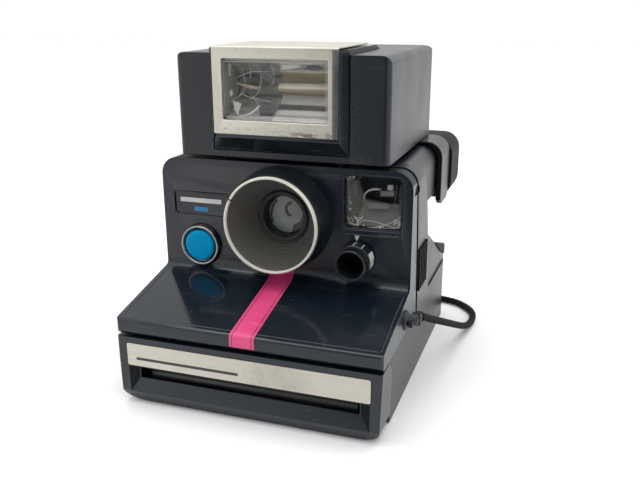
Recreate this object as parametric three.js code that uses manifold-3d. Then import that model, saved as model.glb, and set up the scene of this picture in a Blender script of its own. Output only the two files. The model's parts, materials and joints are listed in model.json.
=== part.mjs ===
// Instant camera: box-type integral-film camera with a plug-on electronic flash.
// Millimetres. X to the camera's right-hand side seen from the front, Y backwards, Z up.
// The shapes are written with Y = 0 at the front lip; the last lines shift them so that
// the origin is the middle of the footprint of the camera with its flash.
import * as THREE from "three";
import { mergeVertices } from "three/addons/utils/BufferGeometryUtils.js";
import { ConvexGeometry } from "three/addons/geometries/ConvexGeometry.js";
import Module from "manifold-3d";

const wasm = await Module();
wasm.setup();

// ---------- driving dimensions ----------
const HALF_W = 56; // body half width
const TOP_Z = 96; // body top
const WALL = 2.2; // moulded wall
const FRONT_Y = -0.28; // front of the decal on the lip
const LABEL_Y = -0.2; // front of the door label
const REAR_Y = 150.2; // rear of the eyecup
const MID_Y = (FRONT_Y + REAR_Y) / 2;
const PANEL_Y = 44; // front panel plane
const LIP_TOP_Z = 37.2; // front lip
const DECK_END = [43.2, 46.7]; // where the deck meets the panel
const CORNER_R = 7.5; // top corners of the body
const BASE_END_Y = 141.5;
const BASE_TOP_Z = 30.3;
const LENS = [0, 73]; // lens axis X, Z
const LENS_RING_R = 20.4;
const LENS_FLANGE_R = 22.3;
const BUTTON = [-38.3, 57.5];
const BUTTON_R = 6.85;
const COLLAR_R = 9.3;
const DIAL = [33.6, 58.9];
const DIAL_R = 6.5;
const DIAL_BORE_R = 5.3;
const FINDER = [27.2, 51.5, 71.5, 93.2]; // window X0, X1, Z0, Z1
const TUNNEL = [24, 53.5, 71.4, 95.7]; // finder tunnel X0, X1, Z0, Z1
const TUNNEL_Y = [61, 127];
const DOOR_HALF_W = 56;
const DOOR_HINGE = [5.5, 4.5]; // Y, Z
const ROLLER_R = 4.2;
const ROLLER_Y = 10.5;
const ROLLER_Z = [9.8, 18.6];
const GEAR_TEETH = 11;
const SLOT = [47, 11.4, 16.9]; // picture slot half width, Z0, Z1
const FLASH_HALF_W = 46;
const FLASH_Y = [43.3, 130.8];
const FLASH_Z = [97.9, 140.4];
const HEAD_TOP_Z = 143.4;
const CORD_D = 3.4;
const COIL = { x: -4, y: 168.5, r: 19 };

// ---------- helpers ----------
function solid(geo) {
  const g = geo.clone();
  g.deleteAttribute("normal");
  g.deleteAttribute("uv");
  const m = mergeVertices(g, 1e-4);
  const idx = [];
  for (let i = 0; i < m.index.count; i += 3) {
    const a = m.index.getX(i), b = m.index.getX(i + 1), c = m.index.getX(i + 2);
    if (a !== b && b !== c && a !== c) idx.push(a, b, c);
  }
  const make = (t) =>
    new wasm.Manifold(
      new wasm.Mesh({
        numProp: 3,
        vertProperties: new Float32Array(m.attributes.position.array),
        triVerts: new Uint32Array(t),
      }),
    );
  let s = make(idx);
  if (s.volume() < 0) {
    for (let i = 0; i < idx.length; i += 3) [idx[i + 1], idx[i + 2]] = [idx[i + 2], idx[i + 1]];
    s = make(idx);
  }
  return s;
}
const move = (g, x, y, z) => g.translate(x, y, z);
function box(x0, x1, y0, y1, z0, z1) {
  return solid(move(new THREE.BoxGeometry(x1 - x0, y1 - y0, z1 - z0), (x0 + x1) / 2, (y0 + y1) / 2, (z0 + z1) / 2));
}
// outline drawn in (Y, Z), carried along X
function alongX(pts, x0, x1) {
  const g = new THREE.ExtrudeGeometry(shapeOf(pts), { depth: x1 - x0, bevelEnabled: false, curveSegments: 6 });
  g.applyMatrix4(new THREE.Matrix4().makeBasis(new THREE.Vector3(0, 1, 0), new THREE.Vector3(0, 0, 1), new THREE.Vector3(1, 0, 0)));
  return solid(move(g, x0, 0, 0));
}
// outline drawn in (X, Z), carried along Y
function alongY(pts, y0, y1) {
  const g = new THREE.ExtrudeGeometry(shapeOf(pts), { depth: y1 - y0, bevelEnabled: false, curveSegments: 6 });
  g.applyMatrix4(new THREE.Matrix4().makeBasis(new THREE.Vector3(1, 0, 0), new THREE.Vector3(0, 0, 1), new THREE.Vector3(0, -1, 0)));
  return solid(move(g, 0, y1, 0));
}
// outline drawn in (X, Y), carried along Z
function alongZ(pts, z0, z1) {
  const g = new THREE.ExtrudeGeometry(shapeOf(pts), { depth: z1 - z0, bevelEnabled: false, curveSegments: 6 });
  return solid(move(g, 0, 0, z0));
}
function shapeOf(pts) {
  return pts instanceof THREE.Shape ? pts : new THREE.Shape(pts.map(([a, b]) => new THREE.Vector2(a, b)));
}
// rectangle with its own radius at each corner: low-left, low-right, top-right, top-left
function rrect(x0, x1, y0, y1, radii, n = 4) {
  const r = Array.isArray(radii) ? radii : [radii, radii, radii, radii];
  const corners = [
    [x0 + r[0], y0 + r[0], Math.PI, r[0]],
    [x1 - r[1], y0 + r[1], 1.5 * Math.PI, r[1]],
    [x1 - r[2], y1 - r[2], 0, r[2]],
    [x0 + r[3], y1 - r[3], 0.5 * Math.PI, r[3]],
  ];
  const pts = [];
  for (const [cx, cy, a0, rad] of corners) {
    if (rad === 0) { pts.push([cx, cy]); continue; }
    for (let i = 0; i <= n; i++) {
      const a = a0 + (i / n) * (Math.PI / 2);
      pts.push([cx + rad * Math.cos(a), cy + rad * Math.sin(a)]);
    }
  }
  return pts;
}
// profile of (radius, Y) points turned about an axis parallel to Y through (cx, cz)
function turnedY(profile, cx, cz, segs = 40, phase = 0) {
  const g = new THREE.LatheGeometry(profile.map(([r, y]) => new THREE.Vector2(r, y)), segs, phase);
  return solid(move(g, cx, 0, cz));
}
// profile of (radius, X) points turned about an axis parallel to X through (cy, cz)
function turnedX(profile, cy, cz, segs = 24) {
  const g = new THREE.LatheGeometry(profile.map(([r, x]) => new THREE.Vector2(r, x)), segs);
  g.applyMatrix4(new THREE.Matrix4().makeBasis(new THREE.Vector3(0, 1, 0), new THREE.Vector3(1, 0, 0), new THREE.Vector3(0, 0, -1)));
  return solid(move(g, 0, cy, cz));
}
function turnedZ(profile, cx, cy, segs = 32) {
  const g = new THREE.LatheGeometry(profile.map(([r, z]) => new THREE.Vector2(r, z)), segs);
  g.applyMatrix4(new THREE.Matrix4().makeBasis(new THREE.Vector3(1, 0, 0), new THREE.Vector3(0, 0, 1), new THREE.Vector3(0, -1, 0)));
  return solid(move(g, cx, cy, 0));
}
const disc = (r, y0, y1, cx, cz, segs = 32) => turnedY([[0, y0], [r, y0], [r, y1], [0, y1]], cx, cz, segs);
const rod = (r, x0, x1, cy, cz, segs = 16) => turnedX([[0, x0], [r, x0], [r, x1], [0, x1]], cy, cz, segs);
const pole = (r, z0, z1, cx, cy, segs = 16) => turnedZ([[0, z0], [r, z0], [r, z1], [0, z1]], cx, cy, segs);
function gearPts(teeth, rRoot, rTip, wRoot, wTip, phase) {
  const pts = [];
  const pitch = (2 * Math.PI) / teeth;
  for (let i = 0; i < teeth; i++) {
    const a = phase + i * pitch;
    for (const [r, f] of [[rRoot, -wRoot], [rTip, -wTip], [rTip, wTip], [rRoot, wRoot]]) {
      pts.push([r * Math.cos(a + f * pitch), r * Math.sin(a + f * pitch)]);
    }
  }
  return pts;
}
// block with flat sides through a set of corner points
const block = (pts) => solid(new ConvexGeometry(pts.map((p) => new THREE.Vector3(...p))));
const shifted = (pts, a, b) => pts.map(([x, y]) => [x + a, y + b]);
function tube(points, d, steps, sides = 8) {
  const curve = new THREE.CatmullRomCurve3(points.map((p) => new THREE.Vector3(...p)), false, "centripetal");
  const ring = [];
  for (let i = 0; i < sides; i++) {
    const a = (2 * Math.PI * (i + 0.5)) / sides;
    ring.push(new THREE.Vector2((d / 2) * Math.cos(a), (d / 2) * Math.sin(a)));
  }
  return solid(new THREE.ExtrudeGeometry(new THREE.Shape(ring), { steps, bevelEnabled: false, extrudePath: curve }));
}

// ---------- materials ----------
const mat = (color, roughness, metalness = 0, opacity = 1) =>
  new THREE.MeshStandardMaterial({ color, roughness, metalness, transparent: opacity < 1, opacity });
const M = {
  body: () => mat(0x1c1d20, 0.45),
  panel: () => mat(0x17181b, 0.35),
  dark: () => mat(0x0c0c0d, 0.7),
  rubber: () => mat(0x2a2826, 0.85),
  silver: () => mat(0xc8c6b9, 0.35, 0.8),
  chrome: () => mat(0xd8d8d8, 0.15, 1),
  ivory: () => mat(0xebe8dc, 0.45),
  blue: () => mat(0x007daf, 0.4),
  clear: () => mat(0xe8eef0, 0.05, 0, 0.35),
  mirror: () => mat(0xe6e6e6, 0.03, 1),
  steel: () => mat(0x9a9a9a, 0.35, 1),
  brass: () => mat(0xb08a3c, 0.4, 0.9),
  board: () => mat(0x7a5a2c, 0.6),
  white: () => mat(0xe8e8e8, 0.5),
  cord: () => mat(0x0a0a0c, 0.9),
  decal: () => mat(0xd94f8a, 0.5),
  amber: () => mat(0xd07a20, 0.3),
  paper: () => mat(0xe9e6dd, 0.6),
};

const camera = new THREE.Group();
const shift = new THREE.Group();
shift.position.set(0, -MID_Y, 0);
camera.add(shift);
const groups = {};
function put(group, name, manifold, material) {
  const m = manifold.getMesh();
  const g = new THREE.BufferGeometry();
  g.setAttribute("position", new THREE.BufferAttribute(new Float32Array(m.vertProperties), 3));
  g.setIndex(new THREE.BufferAttribute(new Uint32Array(m.triVerts), 1));
  g.computeVertexNormals();
  const mesh = new THREE.Mesh(g, material);
  mesh.name = name;
  if (!groups[group]) {
    groups[group] = new THREE.Group();
    shift.add(groups[group]);
  }
  groups[group].add(mesh);
}

// ================= front cover: panel, sloping deck and lip in one moulding =================
const coverOutline = [
  [1.7, 30.8], [0.9, 31.8], [0, 32.3], [0, 36.4], [0.35, 37.1], [1.1, 37.6],
  [42.6, 46.5], [43.6, 47.1], [PANEL_Y, 48.2], [PANEL_Y, TOP_Z], [51.2, TOP_Z], [51.3, 88], [55.4, 52.6], [57.4, 30.8],
];
const coverInside = [
  [3.6, 30], [3.0, 33], [3.0, 35.6], [42.6, 44.3], [46.2, 45.3], [46.2, TOP_Z - WALL], [60, TOP_Z - WALL], [60, 30],
];
const bodyFace = rrect(-HALF_W, HALF_W, -5, TOP_Z, [0, 0, CORNER_R, CORNER_R], 6);
const bodyFaceInside = rrect(-HALF_W + WALL, HALF_W - WALL, -6, TOP_Z - WALL, [0, 0, CORNER_R - WALL, CORNER_R - WALL], 4);
const plan = rrect(-HALF_W, HALF_W, 0, 200, [1.6, 1.6, 0, 0], 4);
const planInside = rrect(-HALF_W + WALL, HALF_W - WALL, 2.4, 200, [0.8, 0.8, 0, 0], 1);
// small recess across the bezel seam on both side walls
const seamNotch = (x0, x1) => alongX(rrect(46.8, 56.6, 85.7, 89.3, [0.2, 0.2, 3.4, 3.4], 4), x0, x1);
{
  let s = alongX(coverOutline, -HALF_W - 1, HALF_W + 1).intersect(alongY(bodyFace, -1, 60)).intersect(alongZ(plan, 20, 110));
  const hollow = alongX(coverInside, -HALF_W, HALF_W).intersect(alongY(bodyFaceInside, -1, 61)).intersect(alongZ(planInside, 20, 110));
  s = s.subtract(hollow);
  s = s.subtract(disc(20.1, 40, 50, ...LENS, 40));
  s = s.subtract(disc(8.1, 40, 50, ...BUTTON, 28));
  s = s.subtract(disc(7.55, 40, 50, ...DIAL, 28));
  s = s.subtract(alongY(rrect(FINDER[0], FINDER[1], FINDER[2], FINDER[3], [2, 2, 3, 2], 3), 40, 50));
  s = s.subtract(alongY(rrect(-50.6, -23.9, 70.8, 81.2, 1.6, 3), 43.45, 44.6)); // name plate recess
  s = s.subtract(box(-22.3, 22.3, 46.9, 50.2, 90, 100)); // slot for the flash blade
  s = s.subtract(seamNotch(54.9, 57)).subtract(seamNotch(-57, -54.9));
  put("camera_body", "front_cover", s, M.panel());
}

// ================= stripe decal: from under the lens ring, along the deck and over the lip =================
{
  const t = 0.22, g = 0.06;
  const outer = [
    [PANEL_Y - g, 51.5], [PANEL_Y - g, 48.2], [43.57, 47.13], [42.58, 46.56], [1.07, 37.66], [0.3, 37.14], [-g, 36.42], [-g, 32.6],
    [-g - t, 32.6], [-g - t, 36.46], [0.14, 37.32], [0.98, 37.88], [42.5, 46.78], [43.4, 47.28], [PANEL_Y - g - t, 48.26], [PANEL_Y - g - t, 51.5],
  ];
  put("camera_body", "stripe_decal", alongX(outer, -5.25, 5.25).subtract(disc(22.6, 40, 50, ...LENS, 40)), M.decal());
}

// ================= upper housing: top, sides and rear wall behind the bezel seam =================
const rearEdge = [[63.6, TOP_Z], [64.6, 94], [72.7, 82.6], [76.8, 72.7], [79.8, 59.8], [86.1, 30.8]];
{
  const outline = [[52, TOP_Z], ...rearEdge, [58.2, 30.8], [56.2, 52.6], [52.1, 88]];
  const inside = [[50, TOP_Z - WALL], [61.9, TOP_Z - WALL], [62.6, 93], [70.7, 81.6], [74.6, 72.1], [77.6, 59.3], [84.0, 30], [50, 30]];
  let s = alongX(outline, -HALF_W - 1, HALF_W + 1).intersect(alongY(bodyFace, 40, 100));
  s = s.subtract(alongX(inside, -HALF_W, HALF_W).intersect(alongY(bodyFaceInside, 40, 100)));
  s = s.subtract(box(-50, 50, 70, 100, 29, 58)); // light path and film chamber
  s = s.subtract(alongY(rrect(TUNNEL[0] - 0.35, TUNNEL[1] + 0.35, TUNNEL[2] - 0.35, 120, 0), 60.6, 100)); // tunnel
  // finger grip ribs on both sides
  for (const side of [-1, 1])
    for (let i = 0; i < 5; i++) {
      const y = 59 + i * 3.6;
      const pts = [[side * 55.5, y], [side * 56.9, y + 0.5], [side * 56.9, y + 1.5], [side * 55.5, y + 2]];
      s = s.add(alongZ(side > 0 ? pts : pts.reverse(), 41, 60));
    }
  // groove behind the bezel, all round
  const insetFace = alongY(rrect(-HALF_W + 1.3, HALF_W - 1.3, -5, TOP_Z - 1.3, [0, 0, CORNER_R - 1.3, CORNER_R - 1.3], 6), 40, 100);
  s = s.subtract(alongX([[51, TOP_Z + 1], [54.2, TOP_Z + 1], [54.3, 88], [58.4, 52.6], [60.4, 30], [57, 30], [55, 52.6], [51, 88]], -HALF_W - 1, HALF_W + 1).subtract(insetFace));
  s = s.subtract(seamNotch(54.9, 56.4)).subtract(seamNotch(-56.4, -54.9));
  put("camera_body", "upper_housing", s, M.body());
}

// ================= viewfinder =================
put("camera_body", "finder_window", alongY(rrect(26.6, 52.1, 70.9, 93.5, [1, 1, 4, 1], 3), 46.5, 47.7), M.clear());
{
  let s = box(26.8, 51.9, 48.1, 60, 71.2, 93.2);
  s = s.intersect(alongY(rrect(26.8, 51.9, 71.2, 93.2, [1, 1, 4, 1], 3), 48, 60.1));
  s = s.subtract(alongX([[47, 72.6], [53, 76], [61, 76], [61, 91.6], [47, 92]], 28.4, 50.4)
    .intersect(box(28.4, 50.4, 47, 61, 70, 95)));
  put("camera_body", "finder_mask", s, M.dark());
}
{
  let s = alongY(rrect(TUNNEL[0], TUNNEL[1], TUNNEL[2], TUNNEL[3], [3, 3, 7, 6], 5), ...TUNNEL_Y);
  s = s.subtract(alongY(rrect(TUNNEL[0] + 2, TUNNEL[1] - 2, TUNNEL[2] + 2, TUNNEL[3] - 2, [1.5, 1.5, 5, 4], 3), 60, 128));
  put("camera_body", "finder_tunnel", s, M.body());
}
{
  let s = alongY(rrect(19.8, 57.8, 66, TOP_Z, 8, 5), 127.3, REAR_Y);
  s = s.subtract(alongY(rrect(25, 52.6, 71.2, 91, 5, 4), 127, 151));
  s = s.add(alongY(rrect(24.5, 53, 70.7, 91.5, 5, 4), 127.3, 129).subtract(alongY(rrect(28.5, 49, 74.5, 87.5, 3, 3), 127, 130)));
  put("camera_body", "eyecup", s, M.rubber());
}
put("camera_body", "eyepiece_lens", alongY(rrect(25.5, 52.1, 71.6, 90.6, 4.6, 4), 129.3, 131.3), M.clear());

// ================= lens =================
{
  const steps = 4;
  const p = [[LENS_RING_R + 0.2, 31.6], [LENS_FLANGE_R, 43.7], [19.7, 43.7], [19.7, 47.6], [9.3, 47.6], [9.3, 45.6]];
  for (let i = steps; i >= 1; i--) {
    const r0 = 11.3 + ((19.1 - 11.3) * (steps - i)) / steps, r1 = 11.3 + ((19.1 - 11.3) * (steps - i + 1)) / steps;
    const y0 = 31.6 + ((45.6 - 31.6) * i) / steps, y1 = 31.6 + ((45.6 - 31.6) * (i - 1)) / steps;
    p.push([r0, y0]);
    p.push([r1 - 0.25, y0]);
    if (i === 1) p.push([r1, y1]);
  }
  p.push([LENS_RING_R + 0.2, 31.6]);
  put("camera_body", "lens_cone", turnedY(p, ...LENS, 36), M.dark());
}
put("camera_body", "lens_ring", turnedY([[19.35, 30.05], [19.6, 29.8], [20.15, 29.8], [LENS_RING_R, 30.05], [LENS_RING_R, 31.5], [19.35, 31.5], [19.35, 30.05]], ...LENS, 36), M.ivory());
put("camera_body", "taking_lens", turnedY([[0, 47.9], [3, 48.1], [6, 48.7], [8.6, 49.7], [8.6, 50.9], [0, 50.9]], ...LENS, 28), M.clear());
{
  let s = box(-24, 24, 51.2, 58.3, 54.5, 91.5).subtract(box(-22, 22, 53.2, 59, 56.5, 89.5)).subtract(disc(6.5, 50, 60, ...LENS, 24));
  put("camera_body", "shutter_housing", s, M.dark());
}
{
  const plate = (y0, y1, x0, x1, hole) => box(x0, x1, y0, y1, 65, 81).subtract(disc(3.6, y0 - 1, y1 + 1, hole, LENS[1], 20));
  put("shutter_blade_a", "shutter_blade_a", plate(53.7, 54.2, -17, 8, -7), M.steel());
  put("shutter_blade_b", "shutter_blade_b", plate(54.7, 55.2, -8, 17, 7), M.steel());
}

// ================= shutter button =================
put("camera_body", "button_collar", turnedY([[7.15, 42.2], [7.45, 41.7], [8.2, 41.7], [COLLAR_R, 42.1], [COLLAR_R, 43.8], [7.9, 43.8], [7.9, 46.4], [7.15, 46.4], [7.15, 42.2]], ...BUTTON, 28), M.chrome());
put("shutter_button", "shutter_button", turnedY([[0, 41.3], [4, 41.4], [6.2, 41.7], [BUTTON_R, 42.2], [BUTTON_R, 47.4], [2, 47.4], [2, 50.4], [0, 50.4]], ...BUTTON, 24), M.blue());
{
  const pts = [];
  const turns = 3, n = turns * 10;
  for (let i = 0; i <= n; i++) {
    const a = (2 * Math.PI * i) / 10;
    pts.push([BUTTON[0] + 3.4 * Math.cos(a), 48.1 + (53.4 - 48.1) * (i / n), BUTTON[1] + 3.4 * Math.sin(a)]);
  }
  put("shutter_button", "button_spring", tube(pts, 0.8, 48, 5), M.steel());
}
{
  let s = box(-50, -27, 57.2, 58.8, 48, 90);
  s = s.add(box(-43.5, -33.1, 54.2, 57.4, 52, 63));
  s = s.add(box(-36, -30, 52, 57.4, 70, 82)).add(pole(3, 66, 80, -45, 53.8, 12).add(box(-46, -44, 53.8, 57.4, 70, 76)));
  put("camera_body", "circuit_board", s, M.board());
}

// ================= exposure dial and the light sensor behind it =================
{
  const p = [
    [DIAL_BORE_R, 32.4], [5.7, 32], [6.2, 32], [DIAL_R, 32.4], [DIAL_R, 35.6], [7.2, 36.2], [7.2, 46.5], [8.8, 46.5], [8.8, 47.8], [DIAL_BORE_R, 47.8], [DIAL_BORE_R, 32.4],
  ];
  put("exposure_dial", "exposure_dial", turnedY(p, ...DIAL, 24), M.dark());
}
{
  let s = turnedY([[0, 48.1], [2.5, 48.3], [4.6, 49.3], [4.6, 50.5], [0, 50.5]], ...DIAL, 20);
  s = s.add(box(28, 39.5, 50.4, 54, 53, 65));
  put("camera_body", "light_sensor", s, M.clear());
}

// ================= drive: motor, pinion, gear, film pick =================
{
  // motor on its bracket, with the gear's post
  const motor = rod(7.5, 22, 44, 68, 50, 20).add(rod(0.9, 43.5, 50.5, 68, 50, 8)).add(box(24, 30, 66, 70, 55, 59.5));
  put("camera_body", "drive_motor", motor.add(box(43, 44.6, 60, 76, 33, 58.5)).add(rod(1.15, 44, 53, 68, 50 - 10.45, 12)), M.steel());
  const pinion = alongX(shifted(gearPts(10, 2.2, 3.7, 0.25, 0.12, 0), 68, 50), 46, 50).subtract(rod(1.05, 45, 51, 68, 50, 12));
  put("motor_pinion", "motor_pinion", pinion, M.brass());
  // 24-tooth gear below the 10-tooth pinion, in mesh
  const cy = 68, cz = 50 - 10.45;
  const gear = alongX(shifted(gearPts(24, 6.2, 7.75, 0.25, 0.1, Math.PI / 2), cy, cz), 46, 50).subtract(rod(1.3, 45, 51, cy, cz, 12));
  put("drive_gear", "drive_gear", gear, M.white());
}
put("pick_arm", "pick_arm", box(48.3, 50.3, 30, 104, 14, 17).add(box(46.2, 50.3, 101, 103, 14, 22.5)).add(box(48.3, 50.3, 58, 62, 14, 27)), M.steel());

// ================= film pack =================
{
  let s = box(-44.5, 44.5, 19, 126, 3, 19).subtract(box(-42.6, 42.6, 20.4, 124.5, 4.4, 18));
  s = s.subtract(box(-39.5, 39.5, 32, 111, 15, 21)); // picture window
  s = s.subtract(box(-43.6, 43.6, 18, 22, 13.4, 16.2)); // picture leaves here
  put("camera_body", "film_pack", s, M.dark());
}
put("camera_body", "film_sheets", box(-42.3, 42.3, 20.8, 124.2, 9.2, 17.6), M.paper());
put("camera_body", "pack_battery", box(-36, 36, 26, 120, 4.7, 8.8), M.silver());

// ================= base shell (film chamber) =================
{
  let s = alongX([[17.3, 1.2], [18.5, 0], [137.5, 0], [BASE_END_Y, 4], [BASE_END_Y, 25], [140.2, BASE_TOP_Z], [10.9, BASE_TOP_Z], [15.0, 26.9], [17.3, 20.3]], -54.8, 54.8)
    .intersect(alongZ(rrect(-54.8, 54.8, -10, BASE_END_Y, [0, 0, 7, 7], 5), -1, 40));
  s = s.subtract(box(-52.7, 52.7, 0, 139, 2.2, 40));
  for (const x of [-51.8, 49.8]) {
    const ear = alongX(rrect(DOOR_HINGE[0] - 2.7, 20, DOOR_HINGE[1] - 2.7, DOOR_HINGE[1] + 2.7, [2.6, 0, 0, 2.6], 4), x, x + 2);
    s = s.add(ear).add(x < 0 ? rod(1.15, -54.5, x + 1, ...DOOR_HINGE, 12) : rod(1.15, x + 1, 54.5, ...DOOR_HINGE, 12)); // moulded hinge pin
  }
  // post that carries the frame counter wheel
  s = s.add(box(-33, -27, 130.4, 133, 1, 19)).add(disc(1.15, 132, 136.6, -30, 16, 14));
  // slot for the latch in the left wall, and a recess for the frame counter in the rear wall
  s = s.subtract(box(-56, -50, 20, 30.4, 15.5, 19.5));
  s = s.subtract(alongY(rrect(-36.4, -23.6, 9.6, 22.4, 1.5, 2), 138, 143));
  put("camera_body", "base_shell", s, M.body());
}
// frame counter: numbered wheel behind a clear window
put("camera_body", "counter_window", alongY(rrect(-36, -24, 10, 22, 1.3, 2), 139.6, 140.8), M.clear());
put("counter_wheel", "counter_wheel", turnedY([[1.3, 133.6], [7.5, 133.6], [7.5, 135], [1.3, 135], [1.3, 133.6]], -30, 16, 24), M.white());

// ================= rear cover over the mirror =================
{
  const outline = [[86.6, 30.6], [80.3, 59.8], [79.9, 62.1], [81.2, 62.3], [137.6, 33.1], [139.4, 30.6]];
  const inside = [[80, 30], [77, 59.8], [79.3, 60.2], [81, 59.9], [134.6, 32], [135.4, 30]];
  let s = alongX(outline, -54, 54).subtract(alongX(inside, -51.8, 51.8));
  s = s.add(alongX([[110.5, 47.1], [125, 38.5], [137.4, 33.2], [138.7, 36.8], [136.6, 39.3]], 48.5, 54.6)); // thumb pad at the right edge
  put("camera_body", "rear_cover", s, M.body());
}
{
  // mirror lies under the slope
  const a = [84.5, 55.7], b = [131, 31.6], t = 1.6;
  const L = Math.hypot(b[0] - a[0], b[1] - a[1]), n = [(b[1] - a[1]) / L * t, -(b[0] - a[0]) / L * t];
  put("camera_body", "taking_mirror", alongX([a, [a[0] + n[0], a[1] + n[1]], [b[0] + n[0], b[1] + n[1]], b], -44, 44), M.mirror());
}

// ================= strap lugs =================
for (const [side, label] of [[1, "right"], [-1, "left"]]) {
  const bx = (x0, x1, ...rest) => (side > 0 ? box(x0, x1, ...rest) : box(-x1, -x0, ...rest));
  let s = bx(56.3, 57.4, 33, 41, 32.2, 40.2).add(bx(57.2, 60.8, 35.4, 37.7, 33.3, 34.7)).add(bx(57.2, 60.8, 35.4, 37.7, 37.9, 39.3)).add(bx(59.9, 60.8, 35.4, 37.7, 33.3, 39.3));
  put("camera_body", "strap_lug_" + label, s, M.dark());
  let e = bx(57.9, 59.5, 33.6, 39.2, 35.1, 37.5).add(bx(57.8, 61.6, 38.9, 42.3, 34.2, 38.5));
  put("camera_body", "strap_end_" + label, e, M.dark());
}

// ================= neck strap: one cord, both ends on the lugs, the middle coiled behind the camera =================
const floorZ = CORD_D / 2 + 0.05;
const run = [[59.7, 42.9, 36.3], [60.9, 51, 33], [62.4, 58.5, 29.3], [64.6, 70, 23.8], [66.4, 83, 17.7], [68.2, 96, 11.6], [70.2, 108.5, 6], [71.6, 118.5, 2.7], [72.3, 127, floorZ], [71.4, 136, floorZ], [67, 143.6, floorZ], [60, 149.3, floorZ], [51, 151.6, floorZ], [38, 150.6, floorZ], [24, 148, floorZ], [12, 146.4, floorZ]];
const back = run.map(([x, y, z]) => [-x, y, z]).slice(0, -2);
back.push([-30, 148.2, 2.2], [-20.5, 146.9, 3.4]);
put("camera_body", "strap_cord_right", tube(run, CORD_D, 30), M.cord());
put("camera_body", "strap_cord_left", tube(back, CORD_D, 28), M.cord());
{
  const w = 1.5 * CORD_D + 0.2, z1 = 6.75, z0 = 0.05;
  let ring = turnedZ([[COIL.r - w, z0 + 1], [COIL.r - w + 1, z0], [COIL.r + w - 1, z0], [COIL.r + w, z0 + 1], [COIL.r + w, z1 - 1], [COIL.r + w - 1, z1], [COIL.r - w + 1, z1], [COIL.r - w, z1 - 1], [COIL.r - w, z0 + 1]], COIL.x, COIL.y, 28);
  const y0 = COIL.y + COIL.r - w, y1 = COIL.y + COIL.r + w, h = 2.5;
  ring = ring.subtract(box(COIL.x - h - 0.3, COIL.x + h + 0.3, y0 - 2, y1 + 2, -1, 8));
  ring = ring.add(box(COIL.x - h - 1, COIL.x + h + 1, y0 + 1, y1 - 1, z0 + 1, z1 - 1));
  put("camera_body", "strap_coil", ring, M.cord());
  put("camera_body", "strap_tie", box(COIL.x - h, COIL.x + h, y0, y1, z0, z1).subtract(box(COIL.x - 4, COIL.x + 4, y0 + 0.7, y1 - 0.7, z0 + 0.7, z1 - 0.7)), M.rubber());
}

// ================= film door =================
{
  let s = alongX([[2.7, 0.3], [0, 5.6], [0, 29.9], [10, 29.9], [14.4, 26.4], [16.8, 20], [16.8, 1.2], [16.0, 0.3]], -DOOR_HALF_W, DOOR_HALF_W)
    .intersect(alongZ(rrect(-DOOR_HALF_W, DOOR_HALF_W, 0, 60, [1.1, 1.1, 0, 0], 4), -1, 40))
    .intersect(alongY([[-45, 0.3], [-49.5, 0.7], [-52.6, 1.7], [-54.3, 3.1], [-55.2, 5], [-DOOR_HALF_W, 30], [DOOR_HALF_W, 30], [55.2, 5], [54.3, 3.1], [52.6, 1.7], [49.5, 0.7], [45, 0.3]], -1, 20));
  s = s.subtract(box(-52.1, 52.1, 2.6, 30, 1.9, 27.9)); // between the cheeks
  s = s.subtract(box(-52.1, 52.1, 9.9, 30, 20, 40));
  s = s.subtract(box(-52.1, -46.5, 2.6, 30, -1, 8)).subtract(box(46.5, 52.1, 2.6, 30, -1, 8)); // room for the hinge ears
  // mitred recess around the picture slot
  s = s.subtract(block([[-51.4, -0.01, 5], [51.4, -0.01, 5], [51.4, -0.01, 17.1], [-51.4, -0.01, 17.1], [-47.4, 1.8, 11.4], [47.4, 1.8, 11.4], [47.4, 1.8, 17.1], [-47.4, 1.8, 17.1]]));
  s = s.subtract(box(-SLOT[0], SLOT[0], -1, 5, SLOT[1], SLOT[2]));
  s = s.subtract(alongY(rrect(-51.8, 51.8, 17.3, 27.5, 0.8, 2), -1, 0.45));
  for (const x of [[-54.7, -52], [52, 54.7]]) {
    for (const z of ROLLER_Z) s = s.subtract(rod(1.62, ...x, ROLLER_Y, z, 16));
    s = s.subtract(rod(1.25, ...x, ...DOOR_HINGE, 12));
  }
  put("film_door", "door_shell", s, M.body());
}
put("film_door", "door_label", alongY(rrect(-51.6, 51.6, 17.5, 27.3, 0.7, 2), LABEL_Y, 0.38), M.silver());
{
  const shaft = (z) => rod(1.5, -54.2, 54.2, ROLLER_Y, z, 16);
  const drum = (z) => rod(ROLLER_R, -45, 45, ROLLER_Y, z, 20);
  const gear = (z, phase) => alongX(shifted(gearPts(GEAR_TEETH, 3.5, 4.95, 0.22, 0.1, phase), ROLLER_Y, z), 46, 49);
  put("roller_lower", "roller_lower", shaft(ROLLER_Z[0]).add(drum(ROLLER_Z[0])).add(gear(ROLLER_Z[0], Math.PI / 2)), M.steel());
  put("roller_upper", "roller_upper", shaft(ROLLER_Z[1]).add(drum(ROLLER_Z[1])).add(gear(ROLLER_Z[1], -Math.PI / 2 + Math.PI / GEAR_TEETH)), M.steel());
}
// latch: thumb piece outside the left wall, stem through the slot, hook plate inside
{
  let s = box(-56.4, -55.1, 21.2, 34, 12.5, 22.5).add(box(-55.2, -51.4, 25.6, 29.2, 16, 19)).add(box(-51.9, -50.9, 19, 31, 14.5, 20.5));
  for (let i = 0; i < 4; i++) s = s.add(box(-57.2, -56.2, 21.5 + i * 3, 22.9 + i * 3, 13.5, 21.5));
  put("door_latch", "door_latch", s, M.body());
}

// ================= flash socket in the camera =================
{
  let s = box(-25, 25, 46.5, 50.8, 80, 93.5).subtract(box(-22.3, 22.3, 47.3, 49.7, 83, 94));
  s = s.subtract(disc(23.2, 46, 51, ...LENS, 32).intersect(box(-26, 26, 46, 51, 79, 82.6)));
  s = s.intersect(box(-25, 25, 46, 51, 81.5, 94)).subtract(disc(20.3, 40, 60, ...LENS, 40));
  put("camera_body", "flash_socket", s, M.dark());
}

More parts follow.
